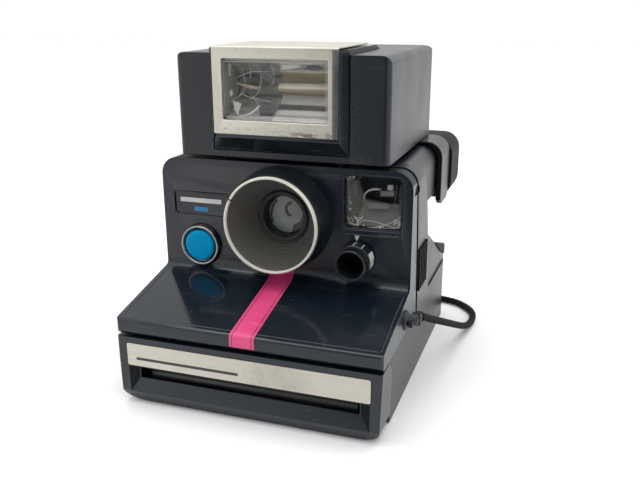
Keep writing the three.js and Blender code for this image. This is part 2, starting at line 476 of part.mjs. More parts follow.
// ================= plug-on flash =================
{
  // case: box with an opening at the front and top for the head
  let s = alongX([[FLASH_Y[0], FLASH_Z[0]], [FLASH_Y[0], FLASH_Z[1]], [124.5, FLASH_Z[1]], [128.5, 138.9], [FLASH_Y[1], 134.5], [FLASH_Y[1], FLASH_Z[0]]], -FLASH_HALF_W, FLASH_HALF_W)
    .intersect(alongZ(rrect(-FLASH_HALF_W, FLASH_HALF_W, FLASH_Y[0], FLASH_Y[1], [2.6, 2.6, 5, 5], 4), 90, 150))
    .intersect(alongY(rrect(-FLASH_HALF_W, FLASH_HALF_W, 90, FLASH_Z[1], [0, 0, 3.6, 3.6], 4), 40, 135));
  const hollow = alongX([[45.5, 101], [45.5, 138.2], [123, 138.2], [128.6, 132], [128.6, 101]], -43.8, 43.8);
  s = s.subtract(hollow);
  s = s.subtract(box(-29.75, 29.75, 40, 90.4, 138, 150)).subtract(box(-29.75, 29.75, 40, 46, 100.6, 150));
  s = s.subtract(alongX([[58.7, 104.3], [58.7, 122.7], [112.3, 122.7], [112.3, 104.3]], -50, -43)); // battery door opening
  s = s.subtract(box(8, 24, 127, 133, 112, 118)); // switch slot
  s = s.subtract(disc(3.2, 127, 133, -14, 115, 16)); // ready lamp hole
  put("flash_unit", "flash_case", s, M.body());
}
{
  // head: black casing that carries the reflector and window
  let s = alongX([[43.4, 101], [38.9, 106.6], [38.7, 107.4], [38.7, 142.4], [79, 142.4], [84.5, 142.2], [90, 140.3], [90, 138.6], [43.4, 138.6]], -29.4, 29.4);
  s = s.add(alongX([[43.3, 101], [43.3, 142.4], [88, 141.2], [90, 140.3], [90, 136.5], [66, 136.5], [66, 104], [52, 101]], -29.4, 29.4));
  s = s.subtract(alongX([[45.5, 103.2], [45.5, 140.2], [88, 138.6], [95, 136], [95, 100], [50, 100]], -27.2, 27.2).intersect(box(-27.2, 27.2, 44, 95, 100, 141)));
  // chamfered cheeks in front of the case
  s = s.intersect(alongZ([[-26.7, 38.5], [26.7, 38.5], [29.4, 43.3], [29.4, 95], [-29.4, 95], [-29.4, 43.3]], 90, 150));
  s = s.subtract(alongY(rrect(-24.2, 24.2, 112.5, 140.3, 0.6, 2), 30, 46)); // window opening
  put("flash_unit", "flash_head", s, M.body());
}
{
  let s = alongX([[37.7, 108.4], [37.7, 142.9], [38.2, HEAD_TOP_Z], [80, HEAD_TOP_Z], [80, 142.7], [38.4, 142.7], [38.4, 108.4]], -26.7, 26.7);
  s = s.subtract(alongY(rrect(-22.5, 22.5, 114.2, 138.6, 0.6, 2), 30, 45));
  put("flash_unit", "flash_frame", s, M.silver());
}
put("flash_unit", "flash_window", box(-23.9, 23.9, 38.9, 40.3, 112.8, 140), M.clear());
{
  const c = [41.2, 126.4];
  const outer = [], inner = [];
  for (let i = -6; i <= 6; i++) {
    const z = (i / 6) * 12.6;
    const y = 56 - (z * z) / 11.2;
    inner.push([Math.max(y, c[0]), c[1] + z]);
    outer.push([Math.max(y, c[0]) + (i === -6 || i === 6 ? 0 : 0.9), c[1] + z * 1.06]);
  }
  let s = alongX([...inner, ...outer.reverse()], -22.4, 22.4);
  const full = alongX([...inner.map(([y, z]) => [y + 0.45, z]), ], -23.3, 23.3);
  s = s.add(full.subtract(box(-22.3, 22.3, 30, 70, 90, 150)));
  for (const x of [-24, 22]) s = s.subtract(rod(2.6, x, x + 2, 50, 126.4, 12));
  put("flash_unit", "flash_reflector", s, M.chrome());
}
put("flash_unit", "flash_tube", rod(2.1, -21.6, 21.6, 50, 126.4, 14).add(rod(1.2, -25, 25, 50, 126.4, 10)), M.clear());
put("flash_unit", "flash_capacitor", rod(9, -24, 22, 70, 124.5, 18).add(rod(1, 21, 26, 70, 124.5, 8)), M.dark());
put("flash_unit", "flash_board", box(-40, 40, 84, 85.6, 104, 132).add(box(-12, 4, 85, 96, 110, 122)).add(pole(4, 122, 132.5, 20, 89.5, 12).intersect(box(10, 30, 80, 100, 100, 140))), M.board());
{
  // wrapped pack of two rows of cells
  const row = (x) => turnedY([[0, 88.6], [7.1, 88.6], [7.1, 124], [2.6, 124.2], [2.6, 125.6], [0, 125.6]], x, 109.5, 16);
  put("flash_unit", "flash_battery_pack", row(-34).add(row(-20)), M.steel());
}
put("flash_battery_door", "flash_battery_door", box(-FLASH_HALF_W, -44.2, 59, 112, 104.6, 122.4), M.body());
{
  let s = box(9.5, 16.5, 130.95, 132.4, 111, 119).add(box(11.5, 14.5, 127.6, 131.2, 113, 117));
  put("flash_switch", "flash_switch", s, M.dark());
}
put("flash_unit", "flash_ready_lamp", turnedY([[0, 131.9], [2, 131.6], [2.9, 130.6], [2.9, 128.2], [0, 128.2]], -14, 115, 16), M.amber());
{
  let s = box(-26, 26, 44.2, 58, 96.35, 97.6).subtract(box(-18, 24, 43, 45.6, 95, 97.2));
  s = s.add(box(-20.5, 20.5, 47.9, 49.1, 85.5, 97));
  put("flash_unit", "flash_foot", s, M.dark());
}
{
  // saddle that clasps the finder tunnel from both sides
  let s = alongY(rrect(20.9, 56.5, 60, 97.6, [0, 0, 7.5, 2.5], 5), 106, 127);
  s = s.subtract(alongY(rrect(TUNNEL[0] - 0.4, TUNNEL[1] + 0.4, 50, TOP_Z + 0.1, [0, 0, 7, 5.5], 5), 100, 130));
  s = s.subtract(alongX([[100, 50], [100, 75], [106, 70], [110, 67.4], [123, 67.4], [127, 70], [130, 75], [130, 50]], 10, 60));
  put("flash_unit", "flash_saddle", s, M.body());
}

export default camera;
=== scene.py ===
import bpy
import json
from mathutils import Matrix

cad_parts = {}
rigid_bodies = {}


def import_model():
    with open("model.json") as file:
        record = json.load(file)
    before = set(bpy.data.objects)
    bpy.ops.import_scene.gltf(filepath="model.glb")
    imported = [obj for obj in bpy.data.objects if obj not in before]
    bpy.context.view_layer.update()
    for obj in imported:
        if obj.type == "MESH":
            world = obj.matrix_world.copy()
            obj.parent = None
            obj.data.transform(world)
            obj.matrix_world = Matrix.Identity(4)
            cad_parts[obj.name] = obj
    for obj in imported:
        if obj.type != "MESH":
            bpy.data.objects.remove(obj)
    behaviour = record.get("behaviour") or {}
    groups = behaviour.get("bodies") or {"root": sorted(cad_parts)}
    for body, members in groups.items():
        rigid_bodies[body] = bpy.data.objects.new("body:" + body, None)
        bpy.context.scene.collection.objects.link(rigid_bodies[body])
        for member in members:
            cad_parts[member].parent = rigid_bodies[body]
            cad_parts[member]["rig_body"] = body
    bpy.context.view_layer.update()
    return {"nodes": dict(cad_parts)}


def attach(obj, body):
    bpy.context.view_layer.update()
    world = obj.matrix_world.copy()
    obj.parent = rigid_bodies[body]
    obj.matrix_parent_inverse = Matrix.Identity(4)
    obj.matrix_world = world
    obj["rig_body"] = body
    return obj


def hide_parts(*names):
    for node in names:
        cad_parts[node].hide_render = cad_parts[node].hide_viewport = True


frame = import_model()

import bpy, bmesh, json, math, random
from mathutils import Vector, Matrix

SCENE = bpy.context.scene
MID_Y = 74.96           # the design's Y offset, mm


def P(x, y, z):
    """design millimetres to metres in the row frame"""
    return Vector((x / 1000, (y - MID_Y) / 1000, z / 1000))


# ------------------------------------------------------------------ camera
AZ, EL, ROLL = math.radians(18.7509), math.radians(17.487), math.radians(-0.1486)
back = Vector((math.sin(AZ) * math.cos(EL), -math.cos(AZ) * math.cos(EL), math.sin(EL)))
eye = Vector((18.4203, 40.0, 66.1414)) + 309.017 * back
right = (-back).cross(Vector((0, 0, 1))).normalized()
up = right.cross(-back)
r2 = right * math.cos(ROLL) + up * math.sin(ROLL)
u2 = -right * math.sin(ROLL) + up * math.cos(ROLL)
cam_data = bpy.data.cameras.new("camera")
cam_data.sensor_width = 36.0
cam_data.lens = 748.619 / 640 * 36.0
cam_data.clip_start, cam_data.clip_end = 0.01, 20
cam = bpy.data.objects.new("camera", cam_data)
m = Matrix((r2, u2, back)).transposed().to_4x4()
m.translation = P(*eye)
cam.matrix_world = m
SCENE.collection.objects.link(cam)
SCENE.camera = cam


# ------------------------------------------------------------------ materials
class Mat:
    def __init__(self, name):
        self.m = bpy.data.materials.new(name)
        self.m.use_nodes = True
        self.n, self.l = self.m.node_tree.nodes, self.m.node_tree.links
        self.b = self.n["Principled BSDF"]
        self.co = self.n.new("ShaderNodeTexCoord").outputs["Object"]
        self.geo = self.n.new("ShaderNodeNewGeometry")

    def put(self, sock, v):
        if isinstance(v, bpy.types.NodeSocket):
            self.l.new(v, sock)
        else:
            sock.default_value = v

    def mapping(self, scale=(1, 1, 1), rot=(0, 0, 0), co=None):
        n = self.n.new("ShaderNodeMapping")
        n.inputs["Scale"].default_value = scale
        n.inputs["Rotation"].default_value = rot
        self.l.new(co or self.co, n.inputs["Vector"])
        return n.outputs[0]

    def noise(self, scale, detail=3, rough=0.5, co=None, dist=0.0):
        n = self.n.new("ShaderNodeTexNoise")
        n.inputs["Scale"].default_value = scale
        n.inputs["Detail"].default_value = detail
        n.inputs["Roughness"].default_value = rough
        n.inputs["Distortion"].default_value = dist
        self.l.new(co or self.co, n.inputs["Vector"])
        return n.outputs["Fac"]

    def voronoi(self, scale, co=None, feature="F1"):
        n = self.n.new("ShaderNodeTexVoronoi")
        n.feature = feature
        n.inputs["Scale"].default_value = scale
        self.l.new(co or self.co, n.inputs["Vector"])
        return n.outputs["Distance"]

    def ramp(self, v, a, b, lo=0.0, hi=1.0):
        n = self.n.new("ShaderNodeMapRange")
        n.clamp = True
        for k, x in zip(("From Min", "From Max", "To Min", "To Max"), (a, b, lo, hi)):
            n.inputs[k].default_value = x
        self.put(n.inputs["Value"], v)
        return n.outputs[0]

    def math(self, op, a, b=0.0, clamp=False):
        n = self.n.new("ShaderNodeMath")
        n.operation, n.use_clamp = op, clamp
        self.put(n.inputs[0], a)
        self.put(n.inputs[1], b)
        return n.outputs[0]

    def mix(self, f, a, b):
        n = self.n.new("ShaderNodeMix")
        n.data_type = "RGBA"
        self.put(n.inputs[0], f)
        self.put(n.inputs[6], (*a, 1) if isinstance(a, tuple) and len(a) == 3 else a)
        self.put(n.inputs[7], (*b, 1) if isinstance(b, tuple) and len(b) == 3 else b)
        return n.outputs[2]

    def bump(self, h, strength=0.2, dist=0.0002, normal=None):
        n = self.n.new("ShaderNodeBump")
        n.inputs["Strength"].default_value = strength
        n.inputs["Distance"].default_value = dist
        self.put(n.inputs["Height"], h)
        if normal is not None:
            self.l.new(normal, n.inputs["Normal"])
        return n.outputs[0]

    def axis(self, k, normal=False):
        n = self.n.new("ShaderNodeSeparateXYZ")
        self.l.new(self.geo.outputs["Normal"] if normal else self.co, n.inputs[0])
        return n.outputs[k]

    def scratches(self, amount=1.0, seed=0.0, fine=1.0):
        """thin broken lines in two crossing directions, 0..1"""
        out = None
        for i, rot in enumerate(((0.3, 0.2, 0.5 + seed), (0.9, -0.4, -0.35 + seed), (0.1, 0.8, 1.3 + seed))):
            co = self.mapping((38, 900 * fine, 900 * fine), rot)
            line = self.ramp(self.noise(1.0, 1, 0.4, co), 0.735 - 0.02 * amount, 0.79, 0, 1)
            where = self.ramp(self.noise(24 + 9 * i, 2, 0.5), 0.48, 0.62)
            v = self.math("MULTIPLY", line, where)
            out = v if out is None else self.math("MAXIMUM", out, v)
        return out

    def dust(self, density=0.5, upward=True, scale=1500):
        """small specks, more where a surface faces up"""
        sp = self.ramp(self.noise(scale, 2, 0.6), 0.70 - 0.10 * density, 0.76 - 0.08 * density)
        cl = self.ramp(self.noise(70, 3, 0.6), 0.42, 0.7)
        v = self.math("MULTIPLY", sp, cl)
        if upward:
            v = self.math("MULTIPLY", v, self.ramp(self.axis(2, True), -0.1, 0.9, 0.15, 1.0))
        return v

    def wear(self, lo=0.54, hi=0.66):
        return self.ramp(self.geo.outputs["Pointiness"], lo, hi)

    def set(self, **kw):
        for k, v in kw.items():
            k = k.replace("_", " ")
            s = self.b.inputs[k]
            if isinstance(v, tuple) and len(v) == 3 and s.type == "RGBA":
                v = (*v, 1)
            self.put(s, v)
        return self.m


def plastic(name, base, rough=0.25, up_rough=None, grain=0.12, grain_scale=2600, scratch=0.6, dust=0.5, worn=0.25, seed=0.0, dust_col=(0.40, 0.39, 0.36), spec=0.5, haze=0.25):
    M = Mat(name)
    n_med = M.noise(48, 4, 0.55)
    n_big = M.noise(13, 3, 0.5, M.mapping((1, 1.3, 0.8), (0.2, 0.1, seed)))
    scr = M.scratches(scratch, seed)
    dst = M.dust(dust)
    smear = M.ramp(M.noise(20, 5, 0.7, M.mapping((1, 1.7, 0.7), (0.2, 0.4, seed))), 0.50, 0.78)
    dark = tuple(c * 0.8 for c in base)
    lite = tuple(c * 1.25 + 0.004 for c in base)
    col = M.mix(M.ramp(n_med, 0.35, 0.7), dark, base)
    col = M.mix(M.math("MULTIPLY", smear, haze), col, lite)
    col = M.mix(M.math("MULTIPLY", scr, 0.22 * scratch), col, (0.16, 0.16, 0.16))
    col = M.mix(M.math("MULTIPLY", M.wear(0.56, 0.70), worn * 0.5), col, (0.13, 0.13, 0.13))
    col = M.mix(M.math("MULTIPLY", dst, 0.7), col, dust_col)
    r = M.ramp(n_med, 0.3, 0.75, -0.02, 0.035)
    if up_rough is None:
        r = M.math("ADD", r, rough)
    else:
        r = M.math("ADD", r, M.ramp(M.axis(2, True), 0.55, 0.9, rough, up_rough))
    r = M.math("ADD", r, M.math("MULTIPLY", M.ramp(n_big, 0.45, 0.7), 0.05))
    r = M.math("ADD", r, M.math("MULTIPLY", smear, 0.10 * haze * 2))
    r = M.math("ADD", r, M.math("MULTIPLY", scr, 0.18), True)
    r = M.math("ADD", r, M.math("MULTIPLY", dst, 0.35), True)
    g = M.noise(grain_scale, 3, 0.6)
    h = M.math("SUBTRACT", g, M.math("MULTIPLY", scr, 0.6))
    M.set(Base_Color=col, Roughness=r, Normal=M.bump(h, grain, 0.00006))
    M.b.inputs["Specular IOR Level"].default_value = spec
    return M.m


def metal(name, base, rough=0.3, brushed=None, scratch=0.6, dirt=0.4, dirt_col=(0.10, 0.085, 0.06), seed=0.0, metallic=1.0, bump=0.10, rims=0.0, zone=None):
    M = Mat(name)
    co = M.mapping(brushed or (60, 60, 60))
    line = M.noise(1.0 if brushed else 30, 4, 0.65, co)
    med = M.noise(45, 4, 0.6)
    scr = M.scratches(scratch, seed)
    spots = M.ramp(M.noise(420, 3, 0.7), 0.62, 0.71)
    grime = M.math("MULTIPLY", M.ramp(M.noise(38, 5, 0.7), 0.52, 0.74), dirt)
    dark = tuple(c * 0.86 for c in base)
    col = M.mix(M.ramp(line, 0.3, 0.7), dark, base)
    col = M.mix(M.math("MULTIPLY", grime, 0.5), col, dirt_col)
    col = M.mix(M.math("MULTIPLY", spots, dirt * 0.5), col, dirt_col)
    col = M.mix(M.math("MULTIPLY", scr, 0.35), col, tuple(min(1, c * 1.25) for c in base))
    if rims:
        col = M.mix(M.math("MULTIPLY", M.wear(0.53, 0.62), rims), col, dirt_col)
    if zone:
        band = M.math("MULTIPLY", M.ramp(M.axis(2), zone[0], zone[1]), M.ramp(M.axis(0), zone[2], zone[3]))
        chips = M.ramp(M.noise(260, 4, 0.75, M.mapping((0.5, 1, 1.6))), 0.50, 0.56)
        spots2 = M.ramp(M.noise(700, 3, 0.7), 0.58, 0.64)
        col = M.mix(M.math("MULTIPLY", band, chips), col, (0.115, 0.115, 0.12))
        col = M.mix(M.math("MULTIPLY", M.math("MULTIPLY", M.ramp(M.axis(2), zone[0] + 0.004, zone[0]), spots2), 0.45), col, (0.20, 0.17, 0.11))
    r = M.ramp(line, 0.25, 0.75, rough - 0.05, rough + 0.07)
    r = M.math("ADD", r, M.math("MULTIPLY", grime, 0.3), True)
    r = M.math("ADD", r, M.math("MULTIPLY", M.ramp(med, 0.35, 0.7), 0.05), True)
    h = M.math("SUBTRACT", line, M.math("MULTIPLY", scr, 0.5))
    M.set(Base_Color=col, Roughness=r, Normal=M.bump(h, bump, 0.00006))
    M.b.inputs["Metallic"].default_value = metallic
    return M.m


def clear(name, tint=(0.97, 0.985, 0.99), rough=0.02, ior=1.49, smudge=0.06, wave=0.02, alpha=0.35):
    M = Mat(name)
    sm = M.ramp(M.noise(60, 4, 0.6), 0.5, 0.78, 0, smudge)
    sp = M.ramp(M.noise(900, 2, 0.6), 0.68, 0.73, 0, 0.25)
    r = M.math("ADD", M.math("ADD", sm, rough), sp, True)
    col = M.mix(M.ramp(M.noise(80, 3, 0.5), 0.3, 0.8), tint, tuple(c * 0.97 for c in tint))
    M.set(Base_Color=col, Roughness=r, Normal=M.bump(M.noise(35, 2, 0.5), wave, 0.0002))
    M.b.inputs["Transmission Weight"].default_value = 1.0
    M.b.inputs["IOR"].default_value = ior
    M.b.inputs["Alpha"].default_value = alpha
    return M.m


def step_bands(M, v, edges, cols):
    """hard-edged colour bands along a value: cols[0] below edges[0], and so on"""
    out = (*cols[0], 1)
    for e, c in zip(edges, cols[1:]):
        out = M.mix(M.math("GREATER_THAN", v, e), out, (*c, 1))
    return out


def decal_material():
    """one plain magenta band with a thin dark line inside each edge"""
    M = Mat("plain_decal")
    x = M.math("MULTIPLY", M.axis(0), 1000)
    band, line = (0.70, 0.035, 0.19), (0.02, 0.02, 0.02)
    c = step_bands(M, x, (-4.25, -3.90, 3.90, 4.25), (band, line, band, line, band))
    scr = M.scratches(0.5, 0.4)
    fade = M.ramp(M.noise(30, 4, 0.6), 0.4, 0.75)
    c = M.mix(M.math("MULTIPLY", fade, 0.12), c, (0.55, 0.5, 0.45))
    c = M.mix(M.math("MULTIPLY", scr, 0.35), c, (0.75, 0.72, 0.68))
    c = M.mix(M.math("MULTIPLY", M.dust(0.4), 0.5), c, (0.45, 0.42, 0.38))
    M.set(Base_Color=c, Roughness=M.ramp(fade, 0, 1, 0.30, 0.42), Normal=M.bump(M.noise(1800, 2, 0.5), 0.05, 0.00005))
    return M.m


BLACK = (0.0050, 0.0100, 0.0175)
MAT = {
    "panel": plastic("panel_black", BLACK, 0.24, 0.105, 0.05, 2600, 0.8, 0.30, 0.3, seed=0.1, dust_col=(0.22, 0.22, 0.20), haze=0.32),
    "body": plastic("body_black", (0.008, 0.0115, 0.0155), 0.34, None, 0.16, 2400, 0.4, 0.4, 0.2, seed=0.7),
    "door": plastic("door_black", (0.0065, 0.0115, 0.0185), 0.27, None, 0.08, 2600, 0.7, 0.35, 0.25, seed=1.1),
    "flash": plastic("flash_black", (0.0075, 0.0115, 0.0165), 0.33, None, 0.16, 2300, 0.4, 0.5, 0.2, seed=1.9, dust_col=(0.30, 0.24, 0.14)),
    "head": plastic("head_black", (0.0045, 0.0085, 0.0135), 0.13, None, 0.03, 2300, 0.7, 0.6, 0.2, seed=2.0, dust_col=(0.33, 0.26, 0.14)),
    "inner": plastic("inner_black", (0.005, 0.0055, 0.007), 0.50, None, 0.2, 2000, 0.2, 0.3, 0.1, seed=2.3),
    "ribbed": plastic("ribbed_black", (0.010, 0.011, 0.0115), 0.42, None, 0.15, 2000, 0.2, 0.5, 0.25, seed=2.5, dust_col=(0.25, 0.24, 0.21)),
    # painted shade: near-black matte for seams, gaps, notches, outlines and slot undersides where shade falls
    "groove": plastic("painted_groove_shade", (0.0022, 0.0024, 0.003), 0.65, None, 0.1, 2000, 0.1, 0.1, 0.05, seed=7.1, spec=0.10, haze=0.1),
    # matte near-black: painted shade on faces that lie in shadow, and a plain dark finish for the strap wire and the
    # rear cover's raised pad
    "under": plastic("shaded_black", (0.004, 0.005, 0.007), 0.6, None, 0.2, 2000, 0.2, 0.2, 0.1, seed=7.2, spec=0.15, haze=0.2),
    # painted highlight: light grey for the lit crest face of each funnel rib
    "crest": plastic("ridge_crest_highlight", (0.17, 0.163, 0.142), 0.45, None, 0.2, 2000, 0.3, 0.6, 0.1, seed=7.3),
    # painted reflection: flat tones for the bands of light and shade seen in the chrome flash reflector and its moulded
    # end
    "r_white": plastic("reflector_painted_white_reflection", (0.97, 0.97, 0.94), 0.30, None, 0.03, 900, 0.3, 0.1, 0.05, seed=7.4),
    "r_grey": plastic("reflector_painted_grey_reflection", (0.55, 0.55, 0.54), 0.22, None, 0.03, 900, 0.3, 0.1, 0.05, seed=7.5),
    "r_end": plastic("reflector_painted_end_reflection", (0.40, 0.40, 0.385), 0.25, None, 0.03, 900, 0.3, 0.1, 0.05, seed=7.55),
    "r_shade": plastic("reflector_shade", (0.20, 0.195, 0.20), 0.25, None, 0.03, 900, 0.3, 0.1, 0.05, seed=7.56),
    "r_mid": metal("reflector_mid", (0.52, 0.52, 0.515), 0.16, (10, 900, 900), 0.3, 0.2, seed=7.6, bump=0.05),
    # painted reflection: dark metal for the dark patches seen in the reflector's end
    "r_dark": metal("reflector_painted_dark_reflection", (0.12, 0.115, 0.125), 0.25, (10, 900, 900), 0.3, 0.2, seed=7.7, bump=0.05),
    "r_brown": plastic("reflector_painted_brown_reflection", (0.66, 0.58, 0.40), 0.3, None, 0.03, 900, 0.3, 0.2, 0.05, seed=7.8),
    "tube_hi": plastic("tube_bright", (0.97, 0.93, 0.76), 0.22, None, 0.03, 900, 0.2, 0.1, 0.05, seed=7.9),
    "tube_lo": plastic("tube_shade", (0.46, 0.40, 0.29), 0.3, None, 0.03, 900, 0.2, 0.1, 0.05, seed=8.0),
    "glint_soft": plastic("soft_glint", (0.50, 0.50, 0.48), 0.15, None, 0.1, 1500, 0.3, 0.2, 0.1, seed=8.5),
    "pane_edge": clear("pane_edge", (0.78, 0.79, 0.80), 0.08, 1.49, 0.1, 0.05),
    "flake": plastic("flash_glint", (0.80, 0.80, 0.77), 0.15, None, 0.1, 1500, 0.3, 0.2, 0.1, seed=8.1),
    "spark": plastic("gold_dust", (0.17, 0.145, 0.10), 0.5, None, 0.2, 2200, 0.1, 0.1, 0.1, seed=8.2),
    "pin": plastic("pinstripe_dark", (0.035, 0.036, 0.038), 0.45, None, 0.1, 2200, 0.3, 0.2, 0.1, seed=8.3),
    "roller": metal("roller_steel", (0.10, 0.105, 0.11), 0.42, (900, 30, 900), 0.4, 0.3, seed=8.4),
    "frame": metal("frame_silver", (0.72, 0.695, 0.60), 0.36, (9, 1100, 1100), 0.5, 0.35, seed=0.35, rims=0.35, zone=(0.1112, 0.1092, -0.004, 0.012)),
    # painted shade: a darker copy of the frame silver for the frame's bevelled side strip
    "frame_edge": metal("frame_edge", (0.40, 0.405, 0.41), 0.34, (9, 1100, 1100), 0.5, 0.5, seed=0.45, rims=0.35),
    # painted shade: a darker copy of the finder floor's grey for its side walls
    "well_wall": plastic("finder_wall", (0.115, 0.108, 0.095), 0.30, None, 0.3, 1500, 0.4, 0.8, 0.4, seed=6.2, dust_col=(0.28, 0.26, 0.22), haze=0.8),
    # painted shade: near-black for the unlit back and top of the finder
    "well_dark": plastic("finder_dark", (0.004, 0.006, 0.010), 0.30, None, 0.2, 1500, 0.2, 0.2, 0.1, seed=6.3, spec=0.2),
    "lens_back": plastic("lens_back", (0.34, 0.35, 0.355), 0.28, None, 0.05, 1500, 0.1, 0.1, 0.1, seed=6.7, haze=0.6),
    "lens_dark": plastic("lens_shade", (0.055, 0.058, 0.062), 0.25, None, 0.05, 1500, 0.1, 0.1, 0.1, seed=6.8),
    "barrel": plastic("barrel_black", (0.0055, 0.0085, 0.0125), 0.30, None, 0.06, 2400, 0.5, 0.55, 0.3, seed=2.55, dust_col=(0.22, 0.20, 0.17), haze=0.4),
    "band": plastic("shaded_band", (0.006, 0.009, 0.014), 0.45, None, 0.1, 2400, 0.3, 0.3, 0.1, seed=7.25, spec=0.28),
    "collar": metal("collar_ring", (0.34, 0.345, 0.33), 0.24, None, 0.6, 0.3, seed=5.1),
    "dial": plastic("dial_black", (0.006, 0.009, 0.013), 0.30, None, 0.08, 2400, 0.5, 0.5, 0.3, seed=2.6),
    "panel_trim": plastic("panel_trim", (0.0065, 0.012, 0.019), 0.30, None, 0.05, 2600, 0.6, 0.5, 0.6, seed=0.2, dust_col=(0.30, 0.29, 0.24)),
    # painted highlight: grey for the bright lines along the finder lip and on its small ridges
    "edge_highlight": plastic("painted_edge_highlight", (0.10, 0.105, 0.11), 0.35, None, 0.1, 2200, 0.5, 0.4, 0.1, seed=4.4),
    # painted light: the finder floor, a lighter copy of the walls' grey
    "well": plastic("finder_well", (0.20, 0.198, 0.185), 0.36, None, 0.3, 1500, 0.4, 0.8, 0.4, seed=6.1, dust_col=(0.28, 0.26, 0.22), haze=0.8),
    # grey for the baffles seen in the finder, also used for painted faint highlight lines
    "well_light": plastic("finder_baffle", (0.21, 0.215, 0.21), 0.4, None, 0.2, 1500, 0.3, 0.5, 0.3, seed=6.4, haze=0.6),
    "glint": plastic("finder_glint", (0.66, 0.66, 0.64), 0.12, None, 0.1, 1500, 0.3, 0.3, 0.1, seed=6.6),
    "rubber": plastic("rubber_grey", (0.007, 0.0070, 0.0066), 0.62, None, 0.45, 1500, 0.3, 0.7, 0.2, seed=2.9, haze=0.5, spec=0.2),
    "ivory": plastic("ivory", (0.76, 0.74, 0.66), 0.34, None, 0.06, 2200, 0.5, 0.3, 0.1, seed=3.3, dust_col=(0.40, 0.35, 0.27)),
    "blue": plastic("button_blue", (0.0003, 0.335, 0.66), 0.36, None, 0.04, 2600, 0.15, 0.1, 0.05, seed=3.9, dust_col=(0.2, 0.35, 0.45), haze=0.05, spec=0.06),
    "white": plastic("white_plastic", (0.78, 0.78, 0.76), 0.4, None, 0.1, 2200, 0.4, 0.2, 0.1, seed=4.3),
    "mark": plastic("marking_white", (0.62, 0.62, 0.60), 0.45, None, 0.1, 2200, 0.5, 0.3, 0.1, seed=4.5),
    "mark_blue": plastic("marking_blue", (0.003, 0.20, 0.42), 0.4, None, 0.05, 2200, 0.5, 0.2, 0.1, seed=4.6),
    "amber": plastic("amber", (0.65, 0.22, 0.02), 0.2, None, 0.05, 2200, 0.3, 0.2, 0.1, seed=4.9),
    "board": plastic("board", (0.16, 0.10, 0.03), 0.5, None, 0.3, 900, 0.2, 0.2, 0.1, seed=5.3),
    "paper": plastic("paper", (0.75, 0.73, 0.68), 0.6, None, 0.2, 900, 0.2, 0.1, 0.0, seed=5.9),
    "silver": metal("silver_trim", (0.72, 0.695, 0.60), 0.36, (9, 1100, 1100), 0.5, 0.35, seed=0.3, rims=0.35),
    "label": metal("label_silver", (0.60, 0.585, 0.505), 0.42, (9, 1300, 1300), 0.6, 0.35, seed=1.3, rims=0.2),
    "chrome": metal("chrome", (0.80, 0.80, 0.79), 0.14, None, 0.5, 0.15, seed=2.1),
    "steel": metal("steel", (0.46, 0.46, 0.47), 0.30, (1200, 8, 1200), 0.5, 0.3, seed=3.1),
    "dark_steel": metal("dark_steel", (0.10, 0.10, 0.105), 0.38, (900, 30, 900), 0.4, 0.3, seed=3.5),
    "brass": metal("brass", (0.60, 0.42, 0.16), 0.35, None, 0.4, 0.3, seed=3.7),
    "mirror": metal("mirror", (0.9, 0.9, 0.9), 0.04, None, 0.1, 0.03, seed=4.1),
    "clear": clear("clear_window"),
    "pane": clear("flash_pane", (0.95, 0.955, 0.93), 0.015, 1.45, 0.05, 0.04, alpha=0.12),
    "lens": clear("lens_glass", (0.80, 0.84, 0.87), 0.015, 1.55, 0.03),
    "decal": decal_material(),
}


# ------------------------------------------------------------------ mesh helpers
def obj_from(bm, name, mat, body, rep=(), smooth=35):
    me = bpy.data.meshes.new(name)
    bmesh.ops.recalc_face_normals(bm, faces=bm.faces)
    bm.to_mesh(me)
    bm.free()
    o = bpy.data.objects.new(name, me)
    SCENE.collection.objects.link(o)
    me.materials.append(MAT[mat] if isinstance(mat, str) else mat)
    if smooth:
        shade(o, smooth)
    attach(o, body)
    if rep:
        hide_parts(*([rep] if isinstance(rep, str) else rep))
    return o


def shade(o, angle):
    for p in o.data.polygons:
        p.use_smooth = True
    o.data.set_sharp_from_angle(angle=math.radians(angle))


def bevel(o, width, seg=2, angle=30, weld=True):
    b = o.modifiers.new("bevel", "BEVEL")
    b.width, b.segments, b.limit_method, b.angle_limit = width, seg, "ANGLE", math.radians(angle)
    b.miter_outer = "MITER_ARC"
    b.use_clamp_overlap = True
    b.harden_normals = False
    return b


def refine(node, mat, width=0.0004, seg=2, angle=30, name=None, body=None, extra=()):
    """a finished copy of a CAD node: flat faces joined, edges rounded, chosen faces in another finish"""
    src = frame["nodes"][node]
    bm = bmesh.new()
    bm.from_mesh(src.data)
    bmesh.ops.remove_doubles(bm, verts=bm.verts, dist=2e-6)
    bmesh.ops.dissolve_limit(bm, angle_limit=math.radians(0.6), verts=bm.verts, edges=bm.edges)
    o = obj_from(bm, name or node + "_fine", mat, body or src["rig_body"], node, smooth=0)
    for k, (mt, test) in enumerate(extra):
        o.data.materials.append(MAT[mt])
        for p in o.data.polygons:
            c = p.center * 1000
            if test(Vector((c.x, c.y + MID_Y, c.z)), p.normal):
                p.material_index = k + 1
    if width:
        bevel(o, width, seg, angle)
    shade(o, 40)
    w = o.modifiers.new("even", "WEIGHTED_NORMAL")
    w.mode, w.weight, w.keep_sharp = "FACE_AREA", 100, True
    return o


